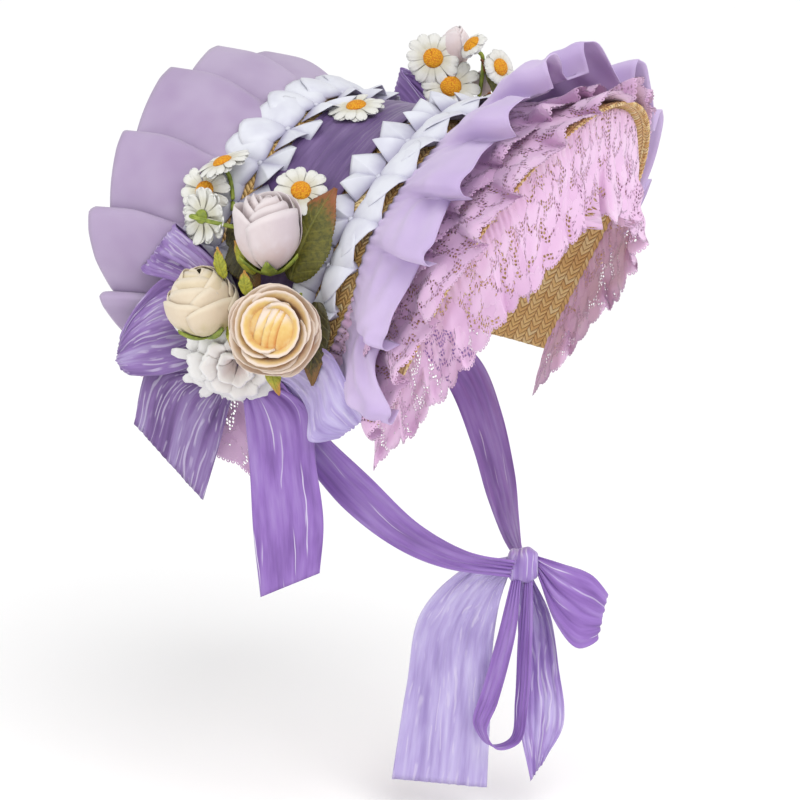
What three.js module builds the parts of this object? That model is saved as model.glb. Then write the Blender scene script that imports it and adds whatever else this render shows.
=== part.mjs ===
import * as THREE from 'three';

// A straw half bonnet. Sizes are millimetres: the crown points up along +Z, the open brim faces -Y
// and the right side is -X. The origin is the underside of the top of the crown, where it rests.

// Driving sizes
const strawThick = 2;
const clothThick = 1;
const laceThick = 1.2;
const gap = 0.35; // between pieces that lie on each other
const capShare = 0.7; // share of a half arch that is round; the rest is its straight leg
const ribbonHalf = 24;
const trimUnits = 16;
const trimHigh = 3;
const trimNear = 2; // from the ribbon's edge to a trim's near and far edges
const frontTrimFar = 22;
const backTrimFar = 18;
const trimEnd = 0.85; // the station where the ribbon and its trims end
const baseTurns = 40;
const crownDrop = 85; // from the top of the crown down to the middle of its round part
const strapSteps = 3; // facets of a strap between two rows of its table

// Arches of the straw base from back to front. Each is round over the top and straight down the sides.
// y and z place its top, half is its half width, cap and leg are the depths of its round and straight
// parts, and slope is how far it leans back for each millimetre that it goes down.
const arches = [
  { y: 50, z: 6, half: 100, cap: 87, leg: 54, slope: 0.35 },
  { y: 24, z: 1, half: 96, cap: 85.5, leg: 58, slope: 0.36 },
  { y: 0, z: 0, half: 95, cap: 85, leg: 61, slope: 0.377 },
  { y: -30, z: 0.7, half: 96.5, cap: 86.5, leg: 63, slope: 0.41 },
  { y: -65, z: 2.5, half: 100, cap: 90, leg: 65, slope: 0.455 },
  { y: -105, z: 6, half: 108, cap: 96, leg: 68, slope: 0.5 },
  { y: -145, z: 10, half: 119, cap: 105, leg: 71, slope: 0.54 },
];

// Free edges of the ruffles. tuck draws the ends in towards the middle.
const edges = {
  backChiffon: { y: 121, z: 25, half: 121, cap: 104, leg: 52, slope: 0.07, bulge: 24, tuck: 10 },
  backLace: { y: 98, z: 3, half: 99.5, cap: 90, leg: 106, slope: 0.1, bulge: 20, tuck: 2 },
  frontChiffon: { y: -108, z: 53, half: 136, cap: 140, leg: 64, slope: 0.33, bulge: -26, tuck: 10 },
  upperLace: { y: -126, z: 31, half: 122, cap: 124, leg: 66, slope: 0.53, bulge: -6, tuck: 10.5 },
  lowerLace: { y: -153, z: 22, half: 132, cap: 118, leg: 74, slope: 0.5, bulge: -4, tuck: 6 },
  underLace: { y: -137, z: -57, half: 103, cap: 82, leg: 62, slope: 0.68, bulge: -16, tuck: 0 },
};

const colours = {
  straw: 0xe1af64,
  ribbon: 0x78609a,
  bow: 0x7a4fae,
  satin: 0xe6e8f2,
  backChiffon: 0xc3afd2,
  frontChiffon: 0xcdb4e1,
  lace: 0xe4b7df,
  rose: 0xf2dcb4,
  peony: 0xebdcb9,
  bud: 0xf0e4e4,
  carnation: 0xf0eceb,
  daisy: 0xf2f0ea,
  leaf: 0x696e2d,
};

const group = new THREE.Group();

function addMesh(name, geometry, colour, roughness = 0.8) {
  const material = new THREE.MeshStandardMaterial({ color: colour, roughness, metalness: 0 });
  const mesh = new THREE.Mesh(geometry, material);
  mesh.name = name;
  group.add(mesh);
  return mesh;
}

const mix = (a, b, t) => a + (b - a) * t;
const at = (x, y, z) => new THREE.Vector3(x, y, z);

// The arch through the base whose top is at forward place y, mixed from its two neighbours.
function archAt(y) {
  let i = 0;
  while (i < arches.length - 2 && y < arches[i + 1].y) i += 1;
  const [a, b] = [arches[i], arches[i + 1]];
  const t = (y - a.y) / (b.y - a.y);
  const arch = {};
  for (const key of Object.keys(a)) arch[key] = mix(a[key], b[key], t);
  return arch;
}

// A point of an arch: s runs from -1 at the right end over the top to 1 at the left end.
function archPoint(arch, s) {
  const side = Math.sign(s) || 1;
  const along = Math.abs(s);
  const angle = Math.min(along / capShare, 1) * Math.PI / 2;
  const down = Math.max(along - capShare, 0) / (1 - capShare);
  const depth = arch.cap * (1 - Math.cos(angle)) + arch.leg * down;
  const wide = arch.half * Math.sin(angle) - (arch.tuck ?? 0) * down * down;
  const bulge = (arch.bulge ?? 0) * Math.sin(Math.PI * Math.min(along, 1));
  return at(side * wide, arch.y + arch.slope * depth + bulge, arch.z - depth);
}

// A point n millimetres outside the middle of the straw, over forward place y and station s.
function overBase(y, s, n) {
  const step = 0.01;
  const across = archPoint(archAt(y - 1), s).sub(archPoint(archAt(y + 1), s));
  const along = archPoint(archAt(y), s + step).sub(archPoint(archAt(y), s - step));
  const normal = across.cross(along).normalize().negate();
  const point = archPoint(archAt(y), s);
  const outward = at(point.x, 0, point.z + crownDrop);
  if (normal.dot(outward) < 0) normal.negate();
  return point.addScaledVector(normal, n);
}

// A closed wall of even thickness round a grid of points.
function wall(grid, thick) {
  const rows = grid.length;
  const columns = grid[0].length;
  const row = (i) => Math.min(Math.max(i, 0), rows - 1);
  const column = (j) => Math.min(Math.max(j, 0), columns - 1);
  const positions = [];
  for (const side of [0.5, -0.5]) {
    for (let i = 0; i < rows; i += 1) {
      for (let j = 0; j < columns; j += 1) {
        const along = grid[row(i + 1)][j].clone().sub(grid[row(i - 1)][j]);
        const across = grid[i][column(j + 1)].clone().sub(grid[i][column(j - 1)]);
        const normal = along.cross(across).normalize();
        const point = grid[i][j].clone().addScaledVector(normal, side * thick);
        positions.push(point.x, point.y, point.z);
      }
    }
  }
  const faces = [];
  const vertex = (side, i, j) => side * rows * columns + i * columns + j;
  const quad = (a, b, c, d) => faces.push(a, b, c, a, c, d);
  for (let i = 0; i < rows - 1; i += 1) {
    for (let j = 0; j < columns - 1; j += 1) {
      quad(vertex(0, i, j), vertex(0, i + 1, j), vertex(0, i + 1, j + 1), vertex(0, i, j + 1));
      quad(vertex(1, i, j), vertex(1, i, j + 1), vertex(1, i + 1, j + 1), vertex(1, i + 1, j));
    }
    quad(vertex(0, i + 1, 0), vertex(0, i, 0), vertex(1, i, 0), vertex(1, i + 1, 0));
    const j = columns - 1;
    quad(vertex(0, i, j), vertex(0, i + 1, j), vertex(1, i + 1, j), vertex(1, i, j));
  }
  for (let j = 0; j < columns - 1; j += 1) {
    const i = rows - 1;
    quad(vertex(0, 0, j), vertex(0, 0, j + 1), vertex(1, 0, j + 1), vertex(1, 0, j));
    quad(vertex(0, i, j + 1), vertex(0, i, j), vertex(1, i, j), vertex(1, i, j + 1));
  }
  return closed(positions, faces);
}

// A geometry whose faces point out, whichever way its grid ran.
function closed(positions, faces) {
  let volume = 0;
  const corner = (k) => at(positions[3 * k], positions[3 * k + 1], positions[3 * k + 2]);
  for (let k = 0; k < faces.length; k += 3) {
    volume += corner(faces[k]).dot(corner(faces[k + 1]).cross(corner(faces[k + 2])));
  }
  const geometry = new THREE.BufferGeometry();
  geometry.setAttribute('position', new THREE.Float32BufferAttribute(positions, 3));
  geometry.setIndex(volume < 0 ? faces.reverse() : faces);
  geometry.computeVertexNormals();
  return geometry;
}

function gridOf(rows, columns, point) {
  const grid = [];
  for (let i = 0; i <= rows; i += 1) {
    grid.push([]);
    for (let j = 0; j <= columns; j += 1) grid[i].push(point(i / rows, j / columns));
  }
  return grid;
}

// The straw base: a saddle from its back edge to the rim of the brim
function strawBase() {
  const last = arches.length - 1;
  const grid = gridOf(baseTurns, last, (u, v) => archPoint(arches[Math.round(v * last)], 2 * u - 1));
  addMesh('straw_base', wall(grid, strawThick), colours.straw, 0.6);
}

// The ribbon along the dip of the crown
function crownRibbon() {
  const n = strawThick / 2 + gap + clothThick / 2;
  const point = (u, v) => overBase(mix(ribbonHalf, -ribbonHalf, v), mix(-trimEnd, trimEnd, u), n);
  const turns = Math.round(baseTurns * trimEnd);
  addMesh('crown_ribbon', wall(gridOf(turns, 1, point), clothThick), colours.ribbon, 0.5);
}

// A row of pinched satin pleats on each side of the ribbon
function petalTrim(name, inner, outer) {
  const low = strawThick / 2 + gap + clothThick / 2;
  const point = (u, v) => {
    const lift = trimHigh * (1 - Math.cos(2 * Math.PI * trimUnits * u)) / 2;
    return overBase(mix(inner, outer, v), mix(-trimEnd, trimEnd, u), low + lift);
  };
  addMesh(name, wall(gridOf(trimUnits * 4, 1, point), clothThick), colours.satin, 0.4);
}

// A ruffle from its seam on the straw to its free edge. folds waves run along it, and they deepen
// from nothing at the seam to depth at the edge; sharp leans each wave over like a knife pleat.
function ruffle(name, colour, size) {
  const { seam, edge, end, folds, depth, sharp = 0, thick, columns, perFold, belly = 0 } = size;
  const low = Math.sign(seam.n) * (strawThick / 2 + gap + thick / 2 + Math.abs(seam.n));
  const middle = (s, v) => {
    const from = overBase(seam.y, s, low);
    return from.lerp(archPoint(edge, s), v);
  };
  const step = 0.004;
  const point = (u, v) => {
    const s = mix(-end, end, u);
    const along = middle(s + step, v).sub(middle(s - step, v));
    const across = middle(s, 1).sub(middle(s, 0));
    const normal = along.cross(across).normalize();
    if (normal.dot(at(Math.sin(s * Math.PI / 2), 0, Math.cos(s * Math.PI / 2))) < 0) normal.negate();
    const turn = 2 * Math.PI * folds * u;
    const wave = Math.cos(turn) + sharp * Math.sin(2 * turn);
    return middle(s, v).addScaledVector(normal, depth * v * wave + belly * Math.sin(Math.PI * v));
  };
  addMesh(name, wall(gridOf(folds * perFold, columns, point), thick), colour, 0.9);
}

function ruffles() {
  ruffle('front_chiffon_ruffle', colours.frontChiffon, {
    seam: { y: -64, n: 1 }, edge: edges.frontChiffon, end: 0.98, folds: 12, depth: 7, thick: clothThick,
    columns: 3, perFold: 6, belly: 4,
  });
  ruffle('back_chiffon_ruffle', colours.backChiffon, {
    seam: { y: 47, n: 1 }, edge: edges.backChiffon, end: 0.98, folds: 16, depth: 5, sharp: 0.35,
    thick: clothThick, columns: 3, perFold: 5, belly: 3,
  });
  ruffle('outer_lace_upper', colours.lace, {
    seam: { y: -74, n: 0.3 }, edge: edges.upperLace, end: 0.97, folds: 16, depth: 2.2, thick: laceThick,
    columns: 2, perFold: 4,
  });
  ruffle('outer_lace_lower', colours.lace, {
    seam: { y: -106, n: 0.3 }, edge: edges.lowerLace, end: 0.99, folds: 18, depth: 2.5, thick: laceThick,
    columns: 2, perFold: 4,
  });
  ruffle('under_brim_lace', colours.lace, {
    seam: { y: -138, n: -0.3 }, edge: edges.underLace, end: 0.98, folds: 18, depth: 4, thick: laceThick,
    columns: 2, perFold: 4, belly: 3,
  });
  ruffle('back_lace', colours.lace, {
    seam: { y: 44, n: -0.3 }, edge: edges.backLace, end: 1, folds: 16, depth: 3, thick: laceThick,
    columns: 2, perFold: 4,
  });
}

// A strap is a smooth band between its two edges. Each row gives a point of either edge.
function strap(name, rows, place) {
  const edgeCurve = (x, y, z) => new THREE.CatmullRomCurve3(
    rows.map((row) => place(at(row[x], row[y], row[z]))), false, 'centripetal');
  const curves = [edgeCurve('x1', 'y1', 'z1'), edgeCurve('x2', 'y2', 'z2')];
  const grid = gridOf((rows.length - 1) * strapSteps, 1, (u, v) => {
    return curves[0].getPoint(u).lerp(curves[1].getPoint(u), v);
  });
  addMesh(name, wall(grid, clothThick), colours.bow, 0.35);
}

// Rows of the side bow, given for the right side. x is measured outwards from the middle of the bonnet.
const bowKnot = { x: 104.8, y: 47, z: -138, deep: 10, long: 16, high: 20 };
const backLoop = [
  { x1: 105.5, y1: 55.6, z1: -131, x2: 105.5, y2: 55.6, z2: -144 },
  { x1: 113, y1: 72, z1: -114, x2: 114, y2: 72, z2: -148 },
  { x1: 123, y1: 92, z1: -103, x2: 125, y2: 92, z2: -151 },
  { x1: 131, y1: 111, z1: -111, x2: 133, y2: 111, z2: -152 },
  { x1: 128, y1: 124, z1: -126, x2: 130, y2: 126, z2: -150 },
  { x1: 119, y1: 112, z1: -120, x2: 120, y2: 112, z2: -150 },
  { x1: 110, y1: 88, z1: -120, x2: 110, y2: 88, z2: -148 },
  { x1: 103.5, y1: 68, z1: -128, x2: 103.5, y2: 68, z2: -146 },
  { x1: 101, y1: 55.6, z1: -132, x2: 101, y2: 55.6, z2: -143 },
];
const upperLoop = [
  { x1: 107, y1: 40, z1: -127.2, x2: 107, y2: 53, z2: -127.2 },
  { x1: 111, y1: 42, z1: -102, x2: 111, y2: 64, z2: -107 },
  { x1: 117, y1: 58, z1: -78, x2: 117, y2: 83, z2: -94 },
  { x1: 120, y1: 78, z1: -62, x2: 121, y2: 102, z2: -90 },
  { x1: 115, y1: 83, z1: -60, x2: 117, y2: 106, z2: -88 },
  { x1: 109, y1: 66, z1: -76, x2: 111, y2: 87, z2: -94 },
  { x1: 105.5, y1: 48, z1: -100, x2: 106, y2: 66, z2: -106 },
  { x1: 102, y1: 41, z1: -127.2, x2: 102, y2: 53, z2: -127.2 },
];
const frontLoop = [
  { x1: 107.5, y1: 38.4, z1: -132, x2: 107.5, y2: 38.4, z2: -145 },
  { x1: 119, y1: 18, z1: -138, x2: 119, y2: 22, z2: -162 },
  { x1: 131, y1: -8, z1: -122, x2: 132, y2: 0, z2: -177 },
  { x1: 137, y1: -28, z1: -134, x2: 137, y2: -24, z2: -175 },
  { x1: 135, y1: -36, z1: -144, x2: 135, y2: -37, z2: -167 },
  { x1: 127, y1: -16, z1: -138, x2: 127, y2: -16, z2: -166 },
  { x1: 114, y1: 14, z1: -140, x2: 114, y2: 14, z2: -158 },
  { x1: 102, y1: 38.4, z1: -133, x2: 102, y2: 38.4, z2: -144 },
];
const backTail = [
  { x1: 104, y1: 54, z1: -148.8, x2: 104, y2: 48.5, z2: -148.8 },
  { x1: 107, y1: 76, z1: -158, x2: 108, y2: 54, z2: -170 },
  { x1: 112, y1: 98, z1: -166, x2: 116, y2: 62, z2: -198 },
  { x1: 117, y1: 112, z1: -180, x2: 122, y2: 72, z2: -224 },
];
const frontTail = [
  { x1: 105, y1: 47, z1: -148.8, x2: 105, y2: 40, z2: -148.8 },
  { x1: 109, y1: 41, z1: -172, x2: 108, y2: 12, z2: -167 },
  { x1: 119, y1: 36, z1: -205, x2: 117, y2: -2, z2: -197 },
  { x1: 124, y1: 33, z1: -240, x2: 124, y2: -8, z2: -230 },
  { x1: 125, y1: 31, z1: -276, x2: 125, y2: -9, z2: -258 },
];
// The left bow sits higher and further forward, and over the pleated row instead of the bare straw.
const leftShift = at(4.4, -50, 45);
const rightSide = (point) => at(-point.x, point.y, point.z);
const leftSide = (point) => point.clone().add(leftShift);

function sideBow(side, place) {
  const knot = new THREE.BoxGeometry(bowKnot.deep, bowKnot.long, bowKnot.high);
  const centre = place(at(bowKnot.x, bowKnot.y, bowKnot.z));
  addMesh(`side_bow_knot_${side}`, knot, colours.bow, 0.35).position.copy(centre);
  strap(`side_bow_back_loop_${side}`, backLoop, place);
  strap(`side_bow_upper_loop_${side}`, upperLoop, place);
  strap(`side_bow_back_tail_${side}`, backTail, place);
  if (side === 'left') return;
  strap('side_bow_front_tail_right', frontTail, place);
  strap('side_bow_front_loop_right', frontLoop, place);
}

// The ties: from the straw on each side down to the knot under the chin
const tie = [
  { x1: 97.8, y1: 54, z1: -122, x2: 97.8, y2: 38, z2: -122 },
  { x1: 98.2, y1: 52, z1: -140, x2: 98.2, y2: 32, z2: -138 },
  { x1: 99.6, y1: 38, z1: -164, x2: 102.4, y2: 12, z2: -156 },
  { x1: 98, y1: 12, z1: -194, x2: 103.5, y2: -10, z2: -176 },
  { x1: 84, y1: -12, z1: -228, x2: 88, y2: -32, z2: -204 },
  { x1: 62, y1: -34, z1: -254, x2: 66, y2: -52, z2: -234 },
  { x1: 38, y1: -56, z1: -270, x2: 40, y2: -68, z2: -254 },
  { x1: 9.5, y1: -84, z1: -279, x2: 9.5, y2: -86, z2: -267 },
];

// The chin bow is laid out in its own frame: across to the left and front, out to the right and front.
const chinKnot = { x: 0, y: -88, z: -273, wide: 16, deep: 12, high: 16 };
const bowTurn = THREE.MathUtils.degToRad(-65);
const chinLeftLoop = [
  { x1: 8.6, y1: -3, z1: 6, x2: 8.6, y2: -3, z2: -5 },
  { x1: 24, y1: -8, z1: 3, x2: 20, y2: -9, z2: -34 },
  { x1: 42, y1: -7, z1: -4, x2: 34, y2: -8, z2: -50 },
  { x1: 52, y1: 0, z1: -18, x2: 46, y2: 0, z2: -46 },
  { x1: 42, y1: 7, z1: -8, x2: 38, y2: 8, z2: -42 },
  { x1: 24, y1: 7, z1: -1, x2: 22, y2: 7, z2: -26 },
  { x1: 8.6, y1: 3, z1: 5, x2: 8.6, y2: 3, z2: -6 },
];
const chinHangingLoop = [
  { x1: -6, y1: -2, z1: -8.9, x2: -1, y2: -5, z2: -8.9 },
  { x1: -14, y1: -6, z1: -40, x2: -4, y2: -15, z2: -40 },
  { x1: -24, y1: -8, z1: -78, x2: -14, y2: -17, z2: -82 },
  { x1: -29, y1: -7, z1: -100, x2: -21, y2: -16, z2: -102 },
  { x1: -20, y1: -6, z1: -113, x2: -14, y2: -15, z2: -113 },
  { x1: -7, y1: -6, z1: -109, x2: -1, y2: -14, z2: -109 },
  { x1: -4, y1: -7, z1: -84, x2: 4, y2: -14, z2: -84 },
  { x1: -2, y1: -6, z1: -40, x2: 6, y2: -13, z2: -40 },
  { x1: 1, y1: -2, z1: -8.9, x2: 6, y2: -5, z2: -8.9 },
];
const chinRightTail = [
  { x1: -8.9, y1: 0, z1: 5, x2: -8.9, y2: 0, z2: -7 },
  { x1: -34, y1: 1, z1: -2, x2: -14, y2: 0, z2: -24 },
  { x1: -62, y1: 3, z1: -32, x2: -18, y2: 1, z2: -52 },
  { x1: -71, y1: 4, z1: -80, x2: -19, y2: 2, z2: -92 },
  { x1: -80, y1: 3, z1: -140, x2: -21, y2: 1, z2: -144 },
];
const chinLeftTail = [
  { x1: -5, y1: 3, z1: -8.9, x2: 6, y2: 3, z2: -8.9 },
  { x1: -3, y1: 10, z1: -34, x2: 17, y2: 13, z2: -36 },
  { x1: -2, y1: 6, z1: -66, x2: 22, y2: 10, z2: -66 },
  { x1: -1, y1: 3, z1: -104, x2: 26, y2: 8, z2: -104 },
  { x1: 6, y1: 3, z1: -140, x2: 14, y2: 6, z2: -128 },
];

function ties() {
  const mirrored = (point) => point.clone();
  strap('tie_right', tie, rightSide);
  strap('tie_left', tie, mirrored);
  const centre = at(chinKnot.x, chinKnot.y, chinKnot.z);
  const place = (point) => point.clone().applyAxisAngle(at(0, 0, 1), bowTurn).add(centre);
  const knot = new THREE.BoxGeometry(chinKnot.wide, chinKnot.deep, chinKnot.high);
  const mesh = addMesh('chin_bow_knot', knot, colours.bow, 0.35);
  mesh.position.copy(centre);
  mesh.rotation.z = bowTurn;
  strap('chin_bow_left_loop', chinLeftLoop, place);
  strap('chin_bow_hanging_loop', chinHangingLoop, place);
  strap('chin_bow_right_tail', chinRightTail, place);
  strap('chin_bow_left_tail', chinLeftTail, place);
}

// Blooms: each is one closed head, with lobes for its petals. tilt and turn aim it: turn 0 faces the
// open front and 90 the right side, and tilt raises it.
const blooms = [
  { name: 'rose_right', form: 'rose', x: -142, y: 17, z: -110, turn: 70, tilt: 12, size: 25 },
  { name: 'peony_right', form: 'peony', x: -132.6, y: 65, z: -100, turn: 100, tilt: 8, size: 20 },
  { name: 'rosebud_right', form: 'bud', x: -117.9, y: 23, z: -56, turn: 75, tilt: 50, size: 16 },
  { name: 'carnation_right', form: 'carnation', x: -123.2, y: 49, z: -147, turn: 90, tilt: -25, size: 24 },
  { name: 'daisy_right_1', form: 'daisy', x: -92.5, y: 12, z: -29.9, turn: 60, tilt: 40, size: 14 },
  { name: 'daisy_right_2', form: 'daisy', x: -99.5, y: 64, z: -22.4, turn: 130, tilt: 70, size: 14 },
  { name: 'daisy_right_3', form: 'daisy', x: -104.6, y: 75, z: -38.2, turn: 100, tilt: 30, size: 14 },
  { name: 'daisy_right_4', form: 'daisy', x: -122.4, y: 74, z: -54.7, turn: 110, tilt: 10, size: 15 },
  { name: 'ribbon_daisy', form: 'daisy', x: -21, y: 6, z: 3.1, turn: 90, tilt: 78, size: 16 },
  { name: 'rose_left', form: 'rose', x: 128.5, y: -22, z: -65.4, turn: -80, tilt: 12, size: 23 },
  { name: 'peony_left', form: 'peony', x: 140, y: 26, z: -60, turn: -100, tilt: 8, size: 20 },
  { name: 'carnation_left', form: 'carnation', x: 124.8, y: 0, z: -104, turn: -90, tilt: -25, size: 22 },
  { name: 'rosebud_left', form: 'bud', x: 73, y: -8.7, z: 23.3, turn: -60, tilt: 75, size: 9 },
  { name: 'daisy_left_1', form: 'daisy', x: 54.5, y: 0.4, z: 16.8, turn: 60, tilt: 20, size: 14 },
  { name: 'daisy_left_2', form: 'daisy', x: 57.5, y: -8, z: 4.8, turn: 60, tilt: 25, size: 14 },
  { name: 'daisy_left_3', form: 'daisy', x: 59.5, y: -26.2, z: 23.6, turn: 30, tilt: 40, size: 12 },
  { name: 'daisy_left_4', form: 'daisy', x: 67.1, y: -37.2, z: 9.6, turn: 20, tilt: 30, size: 12 },
];

// How deep each form is as a share of its size, and how its petals show.
const forms = {
  rose: { colour: colours.rose, deep: 0.72, lobes: 5, lobe: 0.06, around: 15, rows: 7 },
  peony: { colour: colours.peony, deep: 0.85, lobes: 5, lobe: 0.05, around: 15, rows: 7 },
  bud: { colour: colours.bud, deep: 1.1, lobes: 5, lobe: 0.05, around: 10, rows: 6 },
  carnation: { colour: colours.carnation, deep: 0.4, lobes: 8, lobe: 0.08, around: 16, rows: 6 },
  daisy: { colour: colours.daisy, deep: 0.1, lobes: 9, lobe: 0.14, around: 18, rows: 4 },
};

function bloom({ name, form, x, y, z, turn, tilt, size }) {
  const { colour, deep, lobes, lobe, around, rows } = forms[form];
  const geometry = new THREE.SphereGeometry(1, around, rows);
  const position = geometry.attributes.position;
  for (let k = 0; k < position.count; k += 1) {
    const point = at(position.getX(k), position.getY(k), position.getZ(k));
    const flat = Math.hypot(point.x, point.z);
    const petal = 1 + lobe * flat * Math.cos(lobes * Math.atan2(point.z, point.x));
    position.setXYZ(k, point.x * petal * size, point.y * deep * size, point.z * petal * size);
  }
  const mesh = addMesh(name, geometry, colour, 0.8);
  mesh.position.set(x, y, z);
  const aim = THREE.MathUtils.degToRad(turn);
  const raise = THREE.MathUtils.degToRad(tilt);
  const facing = at(-Math.sin(aim) * Math.cos(raise), -Math.cos(aim) * Math.cos(raise), Math.sin(raise));
  mesh.quaternion.setFromUnitVectors(at(0, 1, 0), facing);
}

// Leaves: a bowed blade from its base to its tip, cupped across. Its outline is a stretch of a sine
// wave, from stalk to tip, that skew moves towards the base.
const leafEnds = { stalk: 0.08, tip: 0.96, skew: 0.8 };
const leafRaise = 0.35; // how far a blade's face turns up
const leaves = [
  { name: 'large_leaf_right', x1: -104.8, y1: 26, z1: -87.3, x2: -86.8, y2: 0, z2: -33.3, wide: 27, bow: 6 },
  { name: 'dark_leaf_right', x1: -119.6, y1: 0, z1: -96, x2: -123.6, y2: 4, z2: -136, wide: 14, bow: 3 },
  { name: 'large_leaf_left', x1: 94.7, y1: -22, z1: -42.6, x2: 60.7, y2: -34, z2: 5.4, wide: 24, bow: 5 },
];

function leaf({ name, x1, y1, z1, x2, y2, z2, wide, bow }) {
  const [base, tip] = [at(x1, y1, z1), at(x2, y2, z2)];
  const outward = at(Math.sign(x1), 0, leafRaise).normalize();
  const across = tip.clone().sub(base).cross(outward).normalize();
  const point = (u, v) => {
    const half = wide / 2 * Math.sin(Math.PI * mix(leafEnds.stalk, leafEnds.tip, u ** leafEnds.skew));
    const lift = bow * Math.sin(Math.PI * u) - bow * Math.abs(2 * v - 1) / 2;
    return base.clone().lerp(tip, u).addScaledVector(across, half * (2 * v - 1))
      .addScaledVector(outward, lift);
  };
  addMesh(name, wall(gridOf(7, 2, point), clothThick), colours.leaf, 0.6);
}

strawBase();
crownRibbon();
petalTrim('front_petal_trim', -ribbonHalf - trimNear, -ribbonHalf - frontTrimFar);
petalTrim('back_petal_trim', ribbonHalf + trimNear, ribbonHalf + backTrimFar);
ruffles();
sideBow('right', rightSide);
sideBow('left', leftSide);
ties();
blooms.forEach(bloom);
leaves.forEach(leaf);

export default group;
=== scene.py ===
import math

import bmesh
import bpy
import numpy as np
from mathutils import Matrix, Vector


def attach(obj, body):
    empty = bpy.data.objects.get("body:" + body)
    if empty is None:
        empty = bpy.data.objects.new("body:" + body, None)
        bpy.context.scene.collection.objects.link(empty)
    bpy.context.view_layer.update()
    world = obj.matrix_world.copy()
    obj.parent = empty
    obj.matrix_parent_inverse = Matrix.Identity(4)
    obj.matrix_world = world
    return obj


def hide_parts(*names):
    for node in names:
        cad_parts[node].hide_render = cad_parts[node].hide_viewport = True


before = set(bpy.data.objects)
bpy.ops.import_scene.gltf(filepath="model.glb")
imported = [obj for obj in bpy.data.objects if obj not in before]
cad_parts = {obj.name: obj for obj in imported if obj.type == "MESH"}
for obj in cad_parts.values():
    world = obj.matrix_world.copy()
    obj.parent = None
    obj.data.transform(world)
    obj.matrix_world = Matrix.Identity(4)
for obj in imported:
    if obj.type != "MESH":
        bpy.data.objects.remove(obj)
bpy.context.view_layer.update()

# A straw half bonnet with ruffles, lace, silk flowers and ribbon bows. Shapes are worked out in
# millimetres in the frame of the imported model, and turned into metres when a piece is sewn together.
mm = 0.001
pi = math.pi
capShare = 0.7  # share of a half arch that is round; the rest is its straight leg
alongArch = 205  # millimetres along the straw for a step of 1 in s
paintShare = 0.92  # the studio is bright, so colours are mixed a little darker than they should look

# Arches of the straw from back to front. y and z place the top, half is the half width, cap and leg are
# the depths of the round and straight parts, and slope is how far it leans back going down.
archKeys = ("y", "z", "half", "cap", "leg", "slope")
archRows = np.array([
    (50, 6, 100, 87, 54, 0.35),
    (24, 1, 96, 85.5, 58, 0.36),
    (0, 0, 95, 85, 61, 0.377),
    (-30, 0.7, 96.5, 86.5, 63, 0.41),
    (-65, 2.5, 100, 90, 65, 0.455),
    (-105, 6, 108, 96, 68, 0.5),
    (-145, 10, 119, 105, 71, 0.54),
])
# Free edges of the ruffles. tuck draws the ends in, bulge swells the line between the top and the ends,
# farBulge does so on the left half only, and forward and lower bring the ends forward and down.
plainEdge = dict(tuck=0, bulge=0, farBulge=0, forward=0, lower=0)
edges = {
    "backChiffon": dict(y=116, z=20, half=116, cap=104, leg=52, slope=0.07, bulge=13, tuck=10, farBulge=-30),
    "backLace": dict(
        y=98, z=3, half=99.5, cap=90, leg=106, slope=0.1, bulge=27, tuck=2, forward=-84, lower=33),
    "frontChiffon": dict(
        y=-118, z=28, half=130, cap=120, leg=58, slope=0.42, bulge=-12, tuck=10, farBulge=-18, forward=-18,
        lower=7),
    "upperLace": dict(y=-130, z=14, half=121, cap=110, leg=63, slope=0.6, bulge=-6, tuck=10.5, farBulge=13),
    "lowerLace": dict(y=-154, z=15, half=132, cap=112, leg=73, slope=0.52, bulge=-4, tuck=6, farBulge=15),
    "underLace": dict(y=-137, z=-57, half=103, cap=82, leg=62, slope=0.68, bulge=-16),
}


def paint(red, green, blue):  # a paint card colour of 0 to 255, as the shaders want it
    channels = [c / 255 * paintShare for c in (red, green, blue)]
    return (*[c / 12.92 if c < 0.04045 else ((c + 0.055) / 1.055) ** 2.4 for c in channels], 1.0)


def smoothStep(x, low=0.0, high=1.0):
    t = np.clip((x - low) / (high - low), 0, 1)
    return t * t * (3 - 2 * t)


def archAt(y):  # the arch of the straw over forward place y, softened between its rows
    reach, ys = 9, -archRows[:, 0]
    places = [-(y + d) for d in (-reach, 0, reach)]
    found = {key: sum(np.interp(p, ys, row) for p in places) / 3 for key, row in zip(archKeys, archRows.T)}
    return {**plainEdge, **found, "y": y}


def archPoint(arch, s):  # s runs from -1 at the right end over the top to 1 at the left end
    side, along = np.where(s < 0, -1.0, 1.0), np.abs(s)
    angle = np.minimum(along / capShare, 1) * pi / 2
    down = np.maximum(along - capShare, 0) / (1 - capShare)
    depth = arch["cap"] * (1 - np.cos(angle)) + arch["leg"] * down
    wide = arch["half"] * np.sin(angle) - arch["tuck"] * down ** 2
    swell = (arch["bulge"] + arch["farBulge"] * (s > 0)) * np.sin(pi * np.minimum(along, 1))
    forward = arch["y"] + arch["slope"] * depth + swell + arch["forward"] * smoothStep(along, 0.82, 1.0)
    high = arch["z"] - depth - arch["lower"] * smoothStep(along, 0.55, 0.95)
    return np.stack(np.broadcast_arrays(side * wide, forward, high), -1)


def gridRows(*values):  # numbers from one to another, set out down a grid
    return np.linspace(*values)[:, None]


def gridColumns(*values):  # the same across a grid
    return np.linspace(*values)[None, :]


def turned(x, y, angle):  # x and y after a turn
    c, d = math.cos(angle), math.sin(angle)
    return x * c - y * d, x * d + y * c


def span(v):  # the length of each vector
    return np.linalg.norm(v, axis=-1)


def unit(v):
    return v / np.maximum(span(v), 1e-9)[..., None]


def runAlong(line):  # the way along a line to each of its points
    return np.concatenate([[0], np.cumsum(span(np.diff(line, axis=0)))])


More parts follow.
